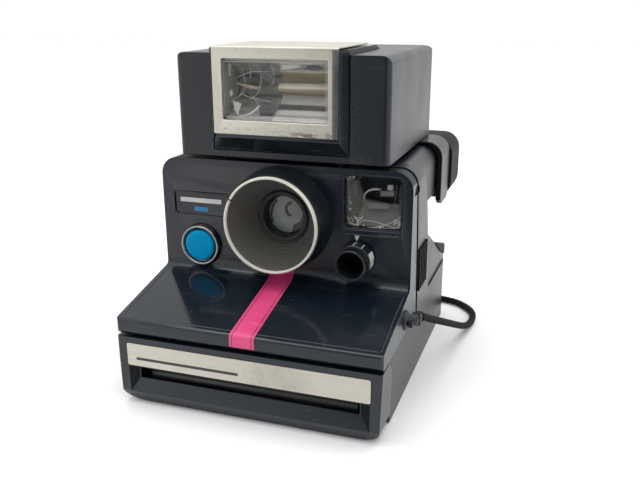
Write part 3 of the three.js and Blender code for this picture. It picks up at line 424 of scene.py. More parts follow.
def lathe(profile, cx, cz, segs=96, bm=None, close=False):
    """(radius, Y) profile in design mm, turned about the Y line through (cx, cz)"""
    bm = bm or bmesh.new()
    rings = []
    for r, y in profile:
        if r < 1e-6:
            rings.append([bm.verts.new(P(cx, y, cz))])
        else:
            rings.append([bm.verts.new(P(cx + r * math.cos(2 * math.pi * i / segs), y, cz + r * math.sin(2 * math.pi * i / segs))) for i in range(segs)])
    pairs = list(zip(rings, rings[1:]))
    if close:
        pairs.append((rings[-1], rings[0]))
    for a, b in pairs:
        for i in range(segs):
            j = (i + 1) % segs
            q = [a[i % len(a)], a[j % len(a)], b[j % len(b)], b[i % len(b)]]
            q = list(dict.fromkeys(q))
            if len(q) > 2:
                try:
                    bm.faces.new(q)
                except ValueError:
                    pass
    return bm


def rounded(pts, r=0.3, n=3, closed=True):
    """a polyline's corners rounded"""
    out = []
    N = len(pts)
    for i, p in enumerate(pts):
        if not closed and i in (0, N - 1):
            out.append(tuple(p))
            continue
        p = Vector(p)
        a, b = Vector(pts[i - 1]), Vector(pts[(i + 1) % N])
        da, db = a - p, b - p
        d = min(r, da.length * 0.45, db.length * 0.45)
        pa, pb = p + da.normalized() * d, p + db.normalized() * d
        for k in range(n + 1):
            t = k / n
            out.append(tuple((1 - t) ** 2 * pa + 2 * t * (1 - t) * p + t * t * pb))
    return out


def rrect(x0, x1, y0, y1, r, n=6):
    r = r if isinstance(r, (list, tuple)) else [r] * 4
    out = []
    for cx, cy, a0, rad in ((x0 + r[0], y0 + r[0], math.pi, r[0]), (x1 - r[1], y0 + r[1], 1.5 * math.pi, r[1]), (x1 - r[2], y1 - r[2], 0, r[2]), (x0 + r[3], y1 - r[3], 0.5 * math.pi, r[3])):
        if rad < 1e-6:
            out.append((cx, cy))
            continue
        for i in range(n + 1):
            a = a0 + i / n * math.pi / 2
            out.append((cx + rad * math.cos(a), cy + rad * math.sin(a)))
    return out


def prism(pts, lo, hi, axis="Y", bm=None, holes=()):
    """an outline carried along an axis; outline in the other two axes in order"""
    bm = bm or bmesh.new()

    def at(p, t):
        return P(*{"X": (t, p[0], p[1]), "Y": (p[0], t, p[1]), "Z": (p[0], p[1], t)}[axis])

    loops = [pts, *holes]
    ends = {}
    for t in (lo, hi):
        vs = [[bm.verts.new(at(p, t)) for p in l] for l in loops]
        ends[t] = vs
        if not holes:
            bm.faces.new(vs[0])
        else:
            es = []
            for l in vs:
                es += [bm.edges.new((l[i], l[(i + 1) % len(l)])) for i in range(len(l))]
            bmesh.ops.triangle_fill(bm, use_beauty=True, use_dissolve=True, edges=es)
    for a, b in zip(ends[lo], ends[hi]):
        for i in range(len(a)):
            j = (i + 1) % len(a)
            bm.faces.new((a[i], a[j], b[j], b[i]))
    return bm


def ribbon(pts, w, d, bm=None, taper=True):
    """a thin raised line: diamond section swept along 3-D points lying roughly in an XZ plane"""
    bm = bm or bmesh.new()
    prev = None
    n = len(pts)
    for i, p in enumerate(pts):
        a, b = Vector(pts[max(i - 1, 0)]), Vector(pts[min(i + 1, n - 1)])
        t = (b - a).normalized()
        side = t.cross(Vector((0, 1, 0)))
        side = side.normalized() if side.length > 1e-4 else Vector((1, 0, 0))
        out = side.cross(t).normalized()
        ww = w * (0.35 if taper and i in (0, n - 1) else 1.0) / 2
        q = Vector(p)
        cur = [bm.verts.new(P(*v)) for v in (q + side * ww, q + out * d / 2, q - side * ww, q - out * d / 2)]
        if prev:
            for k in range(4):
                bm.faces.new((prev[k], prev[(k + 1) % 4], cur[(k + 1) % 4], cur[k]))
        else:
            bm.faces.new(cur)
        prev = cur
    bm.faces.new(prev[::-1])
    return bm


def curve_pts(pts, n=5):
    """Catmull-Rom through the points"""
    out = []
    for i in range(len(pts) - 1):
        p0, p1, p2, p3 = (Vector(pts[max(i - 1, 0)]), Vector(pts[i]), Vector(pts[i + 1]), Vector(pts[min(i + 2, len(pts) - 1)]))
        for k in range(n):
            t = k / n
            out.append(0.5 * ((2 * p1) + (-p0 + p2) * t + (2 * p0 - 5 * p1 + 4 * p2 - p3) * t * t + (-p0 + 3 * p1 - 3 * p2 + p3) * t ** 3))
    out.append(Vector(pts[-1]))
    return out


# ------------------------------------------------------------------ neck strap cord
CORD_D = 3.4
run = [(59.7, 42.9, 36.3), (60.9, 51, 33), (62.4, 58.5, 29.3), (64.6, 70, 23.8), (66.4, 83, 17.7), (68.2, 96, 11.6), (70.2, 108.5, 6), (71.6, 118.5, 2.7), (72.3, 127, 1.75), (71.4, 136, 1.75), (67, 143.6, 1.75), (60, 149.3, 1.75), (51, 151.6, 1.75), (38, 150.6, 1.75), (24, 148, 1.75), (12, 146.8, 1.75), (4, 146.5, 1.75)]
back_run = [(-x, y, z) for x, y, z in run[:-3]][::-1]
coil = []
radii = [22.0, 18.7, 15.4, 15.4, 18.7, 22.0]
for k, R in enumerate(radii):
    nxt = radii[min(k + 1, 5)]
    for i in range(18):
        t = i / 18
        s = max(0.0, (t - 0.72) / 0.28)
        s = s * s * (3 - 2 * s)
        z0 = 1.75 if k < 3 else 4.8
        z1 = 1.75 if k < 2 else 4.8
        a = -math.pi / 2 - 2 * math.pi * t
        r = R + (nxt - R) * s
        coil.append((-4 + r * math.cos(a), 168.5 + r * math.sin(a), z0 + (z1 - z0) * s))
route = run + coil + [(-4, 146.5, 4.8), (-12, 146.7, 4.5), (-21, 147.2, 3.3), (-30, 148.4, 2.2)] + back_run


def smooth_path(pts, step):
    """centripetal Catmull-Rom through pts, resampled to an even step, mm"""
    v = [Vector(p) for p in pts]
    v = [v[0] * 2 - v[1]] + v + [v[-1] * 2 - v[-2]]
    dense = []
    for i in range(1, len(v) - 2):
        p0, p1, p2, p3 = v[i - 1:i + 3]
        t0 = 0.0
        t1 = t0 + max(1e-6, (p1 - p0).length) ** 0.5
        t2 = t1 + max(1e-6, (p2 - p1).length) ** 0.5
        t3 = t2 + max(1e-6, (p3 - p2).length) ** 0.5
        for k in range(24):
            t = t1 + (t2 - t1) * k / 24
            a1 = p0 * ((t1 - t) / (t1 - t0)) + p1 * ((t - t0) / (t1 - t0))
            a2 = p1 * ((t2 - t) / (t2 - t1)) + p2 * ((t - t1) / (t2 - t1))
            a3 = p2 * ((t3 - t) / (t3 - t2)) + p3 * ((t - t2) / (t3 - t2))
            b1 = a1 * ((t2 - t) / (t2 - t0)) + a2 * ((t - t0) / (t2 - t0))
            b2 = a2 * ((t3 - t) / (t3 - t1)) + a3 * ((t - t1) / (t3 - t1))
            dense.append(b1 * ((t2 - t) / (t2 - t1)) + b2 * ((t - t1) / (t2 - t1)))
    dense.append(v[-2])
    L = [0.0]
    for a, b in zip(dense, dense[1:]):
        L.append(L[-1] + (b - a).length)
    n = max(2, round(L[-1] / step))
    out, j = [], 0
    for i in range(n + 1):
        s = L[-1] * i / n
        while j < len(L) - 2 and L[j + 1] < s:
            j += 1
        f = 0 if L[j + 1] == L[j] else (s - L[j]) / (L[j + 1] - L[j])
        out.append(dense[j].lerp(dense[j + 1], min(1, f)))
    return out, L[-1]


def braided_tube(path, d, sides=20, plaits=8, pitch=6.5, name="strap_cord"):
    """tube whose skin is a round braid: two sets of strands crossing over and under"""
    bm = bmesh.new()
    uv = bm.loops.layers.uv.new("UVMap")
    n = len(path)
    tang = [(path[min(i + 1, n - 1)] - path[max(i - 1, 0)]).normalized() for i in range(n)]
    nrm = tang[0].orthogonal().normalized()
    rings, us = [], []
    s = 0.0
    for i, (p, t) in enumerate(zip(path, tang)):
        if i:
            s += (p - path[i - 1]).length
            nrm = (nrm - t * nrm.dot(t)).normalized()
        bn = t.cross(nrm)
        ring = []
        for k in range(sides):
            a = 2 * math.pi * k / sides
            u, w = a / (2 * math.pi) * plaits, s / pitch * plaits / 4
            # over/under weave of two strand families
            f1, f2 = (u + w) % 1.0, (u - w) % 1.0
            over = (math.floor(u + w) + math.floor(u - w)) % 2
            h = math.sin(math.pi * (f1 if over else f2))
            e = math.sin(math.pi * (f2 if over else f1))
            r = d / 2 * (0.90 + 0.10 * h * (0.55 + 0.45 * e))
            ring.append(bm.verts.new(P(*(p + (nrm * math.cos(a) + bn * math.sin(a)) * r))))
        rings.append(ring)
        us.append(s)
    for i in range(n - 1):
        for k in range(sides):
            j = (k + 1) % sides
            f = bm.faces.new((rings[i][k], rings[i][j], rings[i + 1][j], rings[i + 1][k]))
            for l, (uu, vv) in zip(f.loops, ((k, us[i]), (k + 1, us[i]), (k + 1, us[i + 1]), (k, us[i + 1]))):
                l[uv].uv = (uu / sides, vv / 10)
    bm.faces.new(rings[0][::-1])
    bm.faces.new(rings[-1])
    return bm


def cord_material():
    M = Mat("cord_black")
    u = M.n.new("ShaderNodeUVMap")
    u.uv_map = "UVMap"
    co = M.mapping((8, 12.3, 1), (0, 0, 0.78), u.outputs[0])
    th = M.noise(9, 3, 0.7, M.mapping((1, 8, 1), (0, 0, 0.0), co))
    fz = M.noise(3500, 2, 0.6)
    lint = M.ramp(M.noise(1200, 2, 0.6), 0.66, 0.74)
    col = M.mix(M.ramp(th, 0.3, 0.7), (0.0022, 0.0023, 0.0030), (0.0085, 0.0088, 0.0105))
    col = M.mix(M.math("MULTIPLY", lint, 0.4), col, (0.20, 0.19, 0.18))
    M.set(Base_Color=col, Roughness=M.ramp(fz, 0.3, 0.7, 0.72, 0.95), Normal=M.bump(M.math("ADD", th, fz), 0.5, 0.00015))
    M.b.inputs["Sheen Weight"].default_value = 0.02
    M.b.inputs["Specular IOR Level"].default_value = 0.15
    M.b.inputs["Sheen Roughness"].default_value = 0.5
    return M.m


path, cord_len = smooth_path(route, 0.85)
bm = braided_tube(path, CORD_D)
cord = obj_from(bm, "strap_cord", cord_material(), "camera_body", ("strap_cord_right", "strap_coil", "strap_cord_left"), smooth=60)
coarse, _ = smooth_path(route, 5.0)
print("CORD LENGTH mm", round(cord_len, 1))

HALF_W, TOP_Z, CORNER_R = 56.0, 96.0, 7.5


def depth(c):
    """how far a point lies inside the body's outline seen from the front"""
    ax = abs(c.x)
    if ax > HALF_W - CORNER_R and c.z > TOP_Z - CORNER_R:
        return CORNER_R - math.hypot(ax - (HALF_W - CORNER_R), c.z - (TOP_Z - CORNER_R))
    return min(HALF_W - ax, TOP_Z - c.z)


def slope_z(y):
    return 62.3 - (y - 81.2) * 0.5177


# ------------------------------------------------------------------ carried-over CAD nodes: finished copies
# painted shade: top faces under the flash in the dark matte, and the bezel's top-corner band in the shaded finish
refine("front_cover", "panel", 0.0005, 3, 28, extra=[
    ("under", lambda c, n: n.z > 0.9 and c.z > 95.5 and abs(c.x) < 50),
    ("band", lambda c, n: n.z > 0.25 and c.z > 88 and abs(c.x) > 48 and c.y > 44.2)])
# painted shade: the seam groove's faces and the grip ribs' sides in near-black, the rib tops in the dark matte
refine("upper_housing", "body", 0.0005, 2, 28, extra=[
    ("groove", lambda c, n: 50 < c.y < 60.6 and ((0.9 < depth(c) < 1.7 and abs(n.y) < 0.5) or (abs(n.y) > 0.6 and 0.05 < depth(c) < 1.9))),
    ("groove", lambda c, n: abs(c.x) > 55.3 and 58.2 < c.y < 77 and 40 < c.z < 60.5 and (abs(n.y) > 0.25 or abs(n.z) > 0.7)),
    ("under", lambda c, n: abs(c.x) > 56.3 and 58.2 < c.y < 77 and 40 < c.z < 60.5)])
refine("rear_cover", "body", 0.0008, 3, 25, extra=[("under", lambda c, n: abs(c.x) > 48 and c.x > 0 and c.y > 110 and (c.z > slope_z(c.y) + 0.4 or c.x > 54.2))])
refine("base_shell", "body", 0.0005, 2, 28)
refine("finder_tunnel", "body", 0.0005, 2, 30)
refine("eyecup", "rubber", 0.0014, 3, 30)
# painted shade: the picture slot's end facets in the dark matte and its downward faces in near-black
refine("door_shell", "door", 0.00035, 2, 28, extra=[
    ("under", lambda c, n: -0.5 < c.y < 4.5 and 5 < c.z < 19 and 43 < abs(c.x) < 53 and abs(n.x) > 0.25),
    ("groove", lambda c, n: 0.1 < c.y < 16 and 8 < c.z < 19 and abs(c.x) < 50 and n.z < -0.5)])
refine("door_label", "label", 0.00012, 2, 30)
refine("door_latch", "door", 0.0002, 2, 30)
refine("flash_case", "flash", 0.0005, 2, 28)
refine("flash_head", "head", 0.0004, 2, 28)
refine("flash_frame", "frame", 0.0003, 2, 30)
# painted shade: the saddle's front face in the dark matte
refine("flash_saddle", "body", 0.0005, 2, 28, extra=[("under", lambda c, n: n.y < -0.7)])
refine("flash_foot", "inner", 0.0003, 2, 30)
refine("flash_battery_door", "flash", 0.0004, 2, 30)
refine("flash_switch", "inner", 0.0003, 2, 30)
refine("flash_window", "pane", 0.0002, 2, 30)
refine("finder_window", "clear", 0.0002, 2, 30)
refine("eyepiece_lens", "clear", 0.0003, 2, 30)
refine("counter_window", "clear", 0.0002, 2, 30)
for n in ("strap_end_right", "strap_end_left", "strap_tie"):
    bevel(frame["nodes"][n], 0.0004, 2, 30)
for side, label in ((1, "right"), (-1, "left")):
    # moulded boss the strap end is caught in
    bm = bmesh.new()
    rings_ = []
    for x, y, z, r in ((56.1, 37.0, 36.6, 4.2), (56.5, 37.0, 36.6, 4.15), (56.9, 37.1, 36.6, 3.85), (57.5, 37.4, 36.55, 3.1), (58.2, 37.9, 36.5, 2.6), (59.2, 38.3, 36.45, 2.35), (60.3, 38.6, 36.4, 2.2), (60.9, 38.8, 36.4, 1.9), (61.1, 38.9, 36.4, 1.3)):
        rings_.append([bm.verts.new(P(side * x, y + r * math.cos(2 * math.pi * i / 36), z + r * math.sin(2 * math.pi * i / 36))) for i in range(36)])
    for a, b in zip(rings_, rings_[1:]):
        for i in range(36):
            bm.faces.new((a[i], a[(i + 1) % 36], b[(i + 1) % 36], b[i]))
    bm.faces.new(rings_[0][::-1])
    bm.faces.new(rings_[-1])
    obj_from(bm, "strap_lug_" + label + "_fine", "body", "camera_body", "strap_lug_" + label, smooth=50)
    # thin wire ring round the strap with a twisted tail
    bm = bmesh.new()
    c0, ax_ = Vector((side * 60.05, 45.0, 35.4)), Vector((side * 1.2, 8.1, -3.3)).normalized()
    u_ = ax_.cross(Vector((0, 0, 1))).normalized()
    v_ = ax_.cross(u_).normalized()
    rings_ = []
    for i in range(40):
        a = 2 * math.pi * i / 40
        d = u_ * math.cos(a) + v_ * math.sin(a)
        rings_.append([bm.verts.new(P(*(c0 + d * (2.12 + 0.24 * math.cos(t * math.pi / 4)) + ax_ * 0.24 * math.sin(t * math.pi / 4)))) for t in range(8)])
    for a, b in zip(rings_, rings_[1:] + rings_[:1]):
        for t in range(8):
            bm.faces.new((a[t], a[(t + 1) % 8], b[(t + 1) % 8], b[t]))
    tail = [Vector((side * 60.1, 44.8, 33.2)), Vector((side * 60.1, 43.9, 32.5)), Vector((side * 59.8, 42.9, 32.2)), Vector((side * 59.6, 42.0, 32.5))]
    ribbon([tuple(p) for p in curve_pts(tail, 4)], 0.42, 0.4, bm=bm)
    obj_from(bm, "strap_wire_" + label, "under", "camera_body", smooth=50)
    # painted shade: a thin dark half-round plate across the bezel seam, standing for the shaded notch
    pts = [(46.85, 85.85), (56.55, 85.85)] + [(51.7 + 4.85 * math.cos(math.radians(t)), 85.85 + 3.4 * math.sin(math.radians(t))) for t in range(8, 180, 12)]
    bm = prism(pts, side * 54.95, side * 55.35, axis="X")
    obj_from(bm, "seam_notch_shade_" + label, "groove", "camera_body", smooth=0)
for n, mt, w_ in (("shutter_housing", "inner", 0.0003), ("circuit_board", "board", 0.0001), ("drive_motor", "steel", 0.0003), ("film_pack", "inner", 0.0003), ("film_sheets", "paper", 0.0001), ("pack_battery", "silver", 0.0001),
                  ("taking_mirror", "mirror", 0.0001), ("flash_socket", "inner", 0.0002), ("drive_gear", "white", 0.0001), ("motor_pinion", "brass", 0.0001), ("pick_arm", "steel", 0.0001), ("counter_wheel", "white", 0.0001),
                  ("roller_lower", "roller", 0.0002), ("roller_upper", "roller", 0.0002), ("flash_capacitor", "inner", 0.0003), ("flash_board", "board", 0.0001), ("flash_battery_pack", "steel", 0.0002), ("flash_ready_lamp", "amber", 0.0002)):
    refine(n, mt, w_, 2, 32)
for n, mt in {"light_sensor": "lens", "strap_tie": "rubber", "strap_end_right": "inner", "strap_end_left": "inner", "shutter_blade_a": "dark_steel", "shutter_blade_b": "dark_steel", "button_spring": "steel"}.items():
    o = frame["nodes"][n]
    o.data.materials.clear()
    o.data.materials.append(MAT[mt])

# ------------------------------------------------------------------ lens: ribbed funnel, rim, ring, glass
LX, LZ = 0.0, 73.0
prof = [(20.6, 31.75), (20.75, 31.62), (20.9, 31.9)]
prof += [(20.9 + (22.3 - 20.9) * k / 5, 31.9 + (43.4 - 31.9) * k / 5) for k in range(1, 6)]
prof += [(22.3, 43.7), (19.7, 43.7), (19.7, 47.6), (9.0, 47.6), (9.0, 46.6)]
prof += [(10.15 - 1.15 * math.cos(a), 46.2 - 1.0 * math.sin(a)) for a in (0.15, 0.5, 0.9, 1.3, 1.7, 2.1, 2.5, 2.9)]
N_RIB = 20
for k in range(N_RIB):
    t0, t1 = k / N_RIB, (k + 1) / N_RIB
    ra, rb = 11.45 + (19.15 - 11.45) * t0, 11.45 + (19.15 - 11.45) * t1
    ya, yb = 46.1 + (31.75 - 46.1) * t0, 46.1 + (31.75 - 46.1) * t1
    prof += [(ra, ya), (ra + (rb - ra) * 0.72, ya - 0.05), (rb, yb + 0.10)]
prof += [(19.3, 31.66), (20.6, 31.75)]
SEG_CONE = 112
cone = obj_from(lathe(prof, LX, LZ, SEG_CONE), "lens_cone_fine", "ribbed", "camera_body", "lens_cone", smooth=28)
cone.data.materials.append(MAT["crest"])
cone.data.materials.append(MAT["barrel"])
# painted highlight: the crest face of each rib gets the light crest tone
for p in cone.data.polygons:
    c = p.center * 1000
    r_ = math.hypot(c.x - LX, c.z - LZ)
    if 11.5 < r_ < 19.2 and c.y + MID_Y < 46.4:
        f_ = (r_ - 11.45) / (19.15 - 11.45) * N_RIB % 1.0
        if 0.55 < f_ < 0.99:
            p.material_index = 1
    elif r_ > 20.6 and c.y + MID_Y > 31.8:
        p.material_index = 2
# glossy rim round the glass
obj_from(lathe([(11.5, 45.5), (11.25, 45.2), (10.95, 45.3), (10.45, 46.0), (9.75, 46.75), (9.2, 48.3), (8.5, 49.9), (8.3, 50.35), (8.75, 50.45), (9.27, 49.0), (9.28, 47.8), (9.7, 47.2), (10.6, 46.75), (11.35, 46.0)], LX, LZ, 96, close=True), "lens_rim", "head", "camera_body", smooth=50)

# ring: narrow moulded band with a small break at its upper left
bm = bmesh.new()
ring_prof = [(19.42, 31.45), (19.36, 30.3), (19.45, 29.95), (19.62, 29.82), (19.9, 29.78), (20.15, 29.82), (20.33, 29.96), (20.4, 30.2), (20.4, 31.45)]
gap_c, gap_w, n_seg = math.radians(151), math.radians(1.7), 150
rows = []
for i in range(n_seg + 1):
    a = gap_c + gap_w + (2 * math.pi - 2 * gap_w) * i / n_seg
    rows.append([bm.verts.new(P(LX + r * math.cos(a), y, LZ + r * math.sin(a))) for r, y in ring_prof])
for r0, r1 in zip(rows, rows[1:]):
    for k in range(len(ring_prof)):
        j = (k + 1) % len(ring_prof)
        bm.faces.new((r0[k], r0[j], r1[j], r1[k]))
bm.faces.new(rows[0])
bm.faces.new(rows[-1][::-1])
obj_from(bm, "lens_ring_fine", "ivory", "camera_body", "lens_ring", smooth=50)

# glass: domed front element with a ground edge; behind it a grey rear face and dark arc and wedge shapes as painted
# shade seen in the lens
dome = [(0, 49.0)] + [(8.2 * k / 7, 49.0 + 1.15 * (k / 7) ** 2) for k in range(1, 8)] + [(8.28, 50.4), (0, 50.45)]
obj_from(lathe(dome, LX, LZ, 72), "taking_lens_fine", "lens", "camera_body", "taking_lens", smooth=30)
obj_from(lathe([(0, 50.5), (8.25, 50.5), (8.3, 50.85), (0, 50.88)], LX, LZ, 64), "lens_rear_face", "lens_back", "camera_body", smooth=30)
bm = bmesh.new()
arc_ = [(2.4 + 3.5 * math.cos(math.radians(a)), 75.2 + 3.5 * math.sin(math.radians(a))) for a in range(95, 262, 12)]
arc_i = [(2.7 + 2.35 * math.cos(math.radians(a)), 75.2 + 2.35 * math.sin(math.radians(a))) for a in range(261, 94, -12)]
prism(arc_ + arc_i, 50.3, 50.48, bm=bm)
edge_ = [(8.1 * math.cos(math.radians(a)), LZ + 8.1 * math.sin(math.radians(a))) for a in range(-75, 41, 8)]
edge_i = [(1.1 + 6.3 * math.cos(math.radians(a)), LZ + 1.4 + 6.1 * math.sin(math.radians(a))) for a in range(40, -76, -8)]
prism(edge_ + edge_i, 50.3, 50.48, bm=bm)
prism([(-8.0, 72.3), (-6.9, 76.8), (-4.9, 79.3), (-4.2, 78.4), (-6.0, 75.9), (-6.9, 72.3), (-6.2, 68.4), (-7.2, 69.2)], 50.3, 50.48, bm=bm)
obj_from(bm, "lens_shades", "lens_dark", "camera_body", smooth=0)

# ------------------------------------------------------------------ shutter button and its collar
BX, BZ = -38.3, 57.5
col = rounded([(7.12, 46.4), (7.12, 43.1), (7.6, 43.0), (7.75, 42.2), (8.1, 41.65), (8.65, 41.55), (9.0, 41.8), (9.12, 42.4), (9.12, 43.85), (7.95, 43.85), (7.95, 46.4)], 0.16, 2)
obj_from(lathe(col, BX, BZ, 96, close=True), "button_collar_fine", "collar", "camera_body", "button_collar", smooth=40)
obj_from(lathe(rounded([(9.14, 43.9), (9.14, 43.2), (9.3, 42.9), (9.5, 43.15), (9.6, 43.9)], 0.1, 2), BX, BZ, 96, close=True), "button_bezel", "head", "camera_body", smooth=45)
cap = [(0, 41.36)] + [(6.35 * k / 5, 41.36 - 0.06 + 0.06 * (1 - (k / 5) ** 2) * 0 + 0.14 * (k / 5) ** 2) for k in range(1, 6)] + [(6.62, 41.56), (6.8, 41.85), (6.85, 42.3), (6.85, 47.3), (6.7, 47.4), (2, 47.4), (2, 50.3), (0, 50.35)]
obj_from(lathe(cap, BX, BZ, 96), "shutter_button_fine", "blue", "shutter_button", "shutter_button", smooth=40)

# ------------------------------------------------------------------ exposure dial: knurled nose, smooth skirt with marks
DX, DZ = 33.6, 58.9
bm = bmesh.new()
TEETH = 40
SEG = TEETH * 4
rows = []
nose = [(5.3, 47.7), (5.3, 34.0), (5.45, 32.6), (5.75, 32.15), (6.1, 32.05), (6.38, 32.3), (6.45, 32.9)]
knurl = [33.0, 33.15, 34.6, 36.3, 36.45]
skirt = [(6.5, 36.6), (6.95, 36.75), (7.2, 37.05), (7.2, 46.4), (8.6, 46.45), (8.8, 46.7), (8.8, 47.6), (8.6, 47.8), (5.5, 47.8)]


def dial_ring(f, y):
    return [bm.verts.new(P(DX + f(i) * math.cos(2 * math.pi * i / SEG), y, DZ + f(i) * math.sin(2 * math.pi * i / SEG))) for i in range(SEG)]


for r, y in nose:
    rows.append(dial_ring(lambda i, r=r: r, y))
for y in knurl:
    full = 33.1 < y < 36.4
    rows.append(dial_ring(lambda i, full=full: (6.85 if i % 4 in (1, 2) else 6.05) if full else 6.42, y))
for r, y in skirt:
    rows.append(dial_ring(lambda i, r=r: r, y))
for a, b in zip(rows, rows[1:] + rows[:1]):
    for i in range(SEG):
        j = (i + 1) % SEG
        bm.faces.new((a[i], a[j], b[j], b[i]))
obj_from(bm, "exposure_dial_fine", "dial", "exposure_dial", "exposure_dial", smooth=30)


def dial_mark(name, a0, a1, y0, y1, mat="mark", r=7.22, t=0.06):
    """painted mark on the skirt: a thin curved patch"""
    bm = bmesh.new()
    n = max(2, int((a1 - a0) / 2.5))
    v = []
    for i in range(n + 1):
        a = math.radians(a0 + (a1 - a0) * i / n)
        v.append([bm.verts.new(P(DX + rr * math.cos(a), yy, DZ + rr * math.sin(a))) for rr, yy in ((r, y0), (r + t, y0), (r + t, y1), (r, y1))])
    for p, q in zip(v, v[1:]):
        for k in range(4):
            bm.faces.new((p[k], p[(k + 1) % 4], q[(k + 1) % 4], q[k]))
    bm.faces.new(v[0])
    bm.faces.new(v[-1][::-1])
    obj_from(bm, name, mat, "exposure_dial", smooth=30)


dial_mark("dial_tick_a", 90.4, 93.4, 37.2, 41.4)
dial_mark("dial_tick_b", 60.6, 63.6, 37.2, 41.5)
dial_mark("dial_patch_a", 3, 32, 37.3, 42.8)
dial_mark("dial_patch_b", -19, 0.5, 37.3, 42.4)

# pointer above the dial
obj_from(prism([(31.95, 68.4), (34.25, 68.4), (33.1, 65.7)], 43.93, 44.02), "dial_pointer", "mark", "camera_body", smooth=0)
# plain bars in the plate recess
obj_from(prism(rrect(-48.0, -28.2, 76.3, 78.3, 0.35, 3), 44.55, 44.64), "plate_bar_white", "mark", "camera_body", smooth=0)
obj_from(prism(rrect(-41.4, -34.8, 72.4, 74.4, 0.35, 3), 44.55, 44.64), "plate_bar_blue", "mark_blue", "camera_body", smooth=0)

# ------------------------------------------------------------------ viewfinder front: frame lip, shaped well behind the window
bm = prism(rrect(26.0, 52.3, 68.7, 94.0, [1.2, 1.4, 2.6, 1.4], 4), 43.72, 44.0, holes=[rrect(27.3, 51.3, 71.3, 93.1, [0.8, 0.9, 2.2, 0.9], 4)])
o = obj_from(bm, "finder_lip", "panel", "camera_body", smooth=0)
bevel(o, 0.0002, 2, 30)
shade(o, 40)
# painted highlight lines along the lip's bottom and right edges
bm = bmesh.new()
ribbon([(26.1, 43.68, 69.0), (27.4, 43.7, 70.9)], 0.3, 0.16, bm=bm)
ribbon([(27.4, 43.68, 70.9), (33, 43.68, 70.7), (42, 43.68, 70.8), (51.2, 43.68, 71.0)], 0.22, 0.16, bm=bm)
ribbon([(26.4, 43.7, 68.85), (34, 43.68, 68.8), (44, 43.68, 68.8), (51.6, 43.7, 68.9)], 0.20, 0.16, bm=bm)
ribbon([(51.7, 43.7, 69.0), (52.0, 43.68, 72.0), (52.1, 43.7, 76.0)], 0.2, 0.16, bm=bm)
obj_from(bm, "finder_lip_highlights", "edge_highlight", "camera_body", smooth=0)
# painted shade: dark lines along the outline groove of the plate recess
bm = bmesh.new()
ribbon([(-50.3, 44.0, 81.2), (-38, 43.99, 81.2), (-25.4, 43.99, 81.2), (-24.2, 43.99, 80.4), (-23.9, 44.0, 79.0)], 0.42, 0.1, bm=bm)
ribbon([(-50.6, 44.0, 80.6), (-50.6, 43.99, 76), (-50.6, 44.0, 71.4)], 0.35, 0.1, bm=bm)
obj_from(bm, "plate_outline", "groove", "camera_body", smooth=0)
# small ridges under the window, coloured with the painted highlight grey
bm = bmesh.new()
for k in range(7):
    x = 42.2 + k * 1.25
    prism([(x, 69.35), (x + 0.75, 69.3), (x + 0.85, 69.75), (x + 0.1, 69.8)], 43.15, 43.4, bm=bm)
obj_from(bm, "finder_lip_ridges", "edge_highlight", "camera_body", smooth=0)
# well: dished floor and left wall, dark opening at the upper right; painted light: the floor is a lighter copy of the
# walls' grey, and near-black plates behind stand for the unlit opening
bm = bmesh.new()


def plate(bm, pts):
    """closed thin plate through 3-D points, thickened backwards"""
    a = [bm.verts.new(P(*p)) for p in pts]
    b = [bm.verts.new(P(p[0], p[1] + 0.35, p[2])) for p in pts]
    bm.faces.new(a)
    bm.faces.new(b[::-1])
    for i in range(len(a)):
        j = (i + 1) % len(a)
        bm.faces.new((a[i], b[i], b[j], a[j]))


plate(bm, [(31.0, 49.0, 72.6), (50.6, 49.0, 73.0), (48.6, 51.6, 80.4), (34.6, 51.2, 81.8)])
plate(bm, [(27.0, 48.3, 71.4), (51.6, 48.4, 72.0), (50.6, 49.0, 73.0), (31.0, 49.0, 72.6)])
obj_from(bm, "finder_mask_fine", "well", "camera_body", "finder_mask", smooth=0)
bm = bmesh.new()
plate(bm, [(27.0, 48.3, 71.4), (31.0, 49.0, 72.6), (34.6, 51.2, 81.8), (31.6, 51.0, 89.5), (28.9, 48.8, 92.6), (27.0, 48.3, 92.9)])
plate(bm, [(50.6, 49.0, 73.0), (51.6, 48.4, 72.0), (51.6, 48.4, 92.2), (49.0, 50.8, 89.0), (48.6, 51.6, 80.4)])
obj_from(bm, "finder_well_sides", "well_wall", "camera_body", smooth=0)
bm = bmesh.new()
plate(bm, [(28.9, 48.8, 92.6), (31.6, 51.0, 89.5), (45.0, 51.0, 91.0), (49.0, 50.8, 89.0), (51.6, 48.4, 92.2), (50.0, 48.3, 93.0)])
plate(bm, [(31.6, 55, 81.5), (34.6, 55, 81.0), (49.2, 55, 80.0), (49.4, 55, 91.2), (31.0, 55, 91.2)])
obj_from(bm, "finder_well_back", "well_dark", "camera_body", smooth=0)
# small parts seen through the window
bm = bmesh.new()
prism([(44.3, 87.2), (46.5, 87.3), (46.5, 89.4), (44.3, 89.2)], 49.0, 49.25, bm=bm)
obj_from(bm, "finder_tab", "mark", "camera_body", smooth=0)
bm = bmesh.new()
prism([(41.2, 84.3), (46.9, 84.7), (46.9, 86.8), (41.2, 86.4)], 49.35, 49.5, bm=bm)
prism([(36.4, 78.9), (44.7, 79.6), (44.7, 81.5), (36.3, 81.3)], 48.75, 48.95, bm=bm)
prism([(27.8, 77.1), (28.5, 77.1), (28.6, 86.0), (27.8, 85.8)], 48.05, 48.2, bm=bm)
obj_from(bm, "finder_baffles", "well_light", "camera_body", smooth=0)
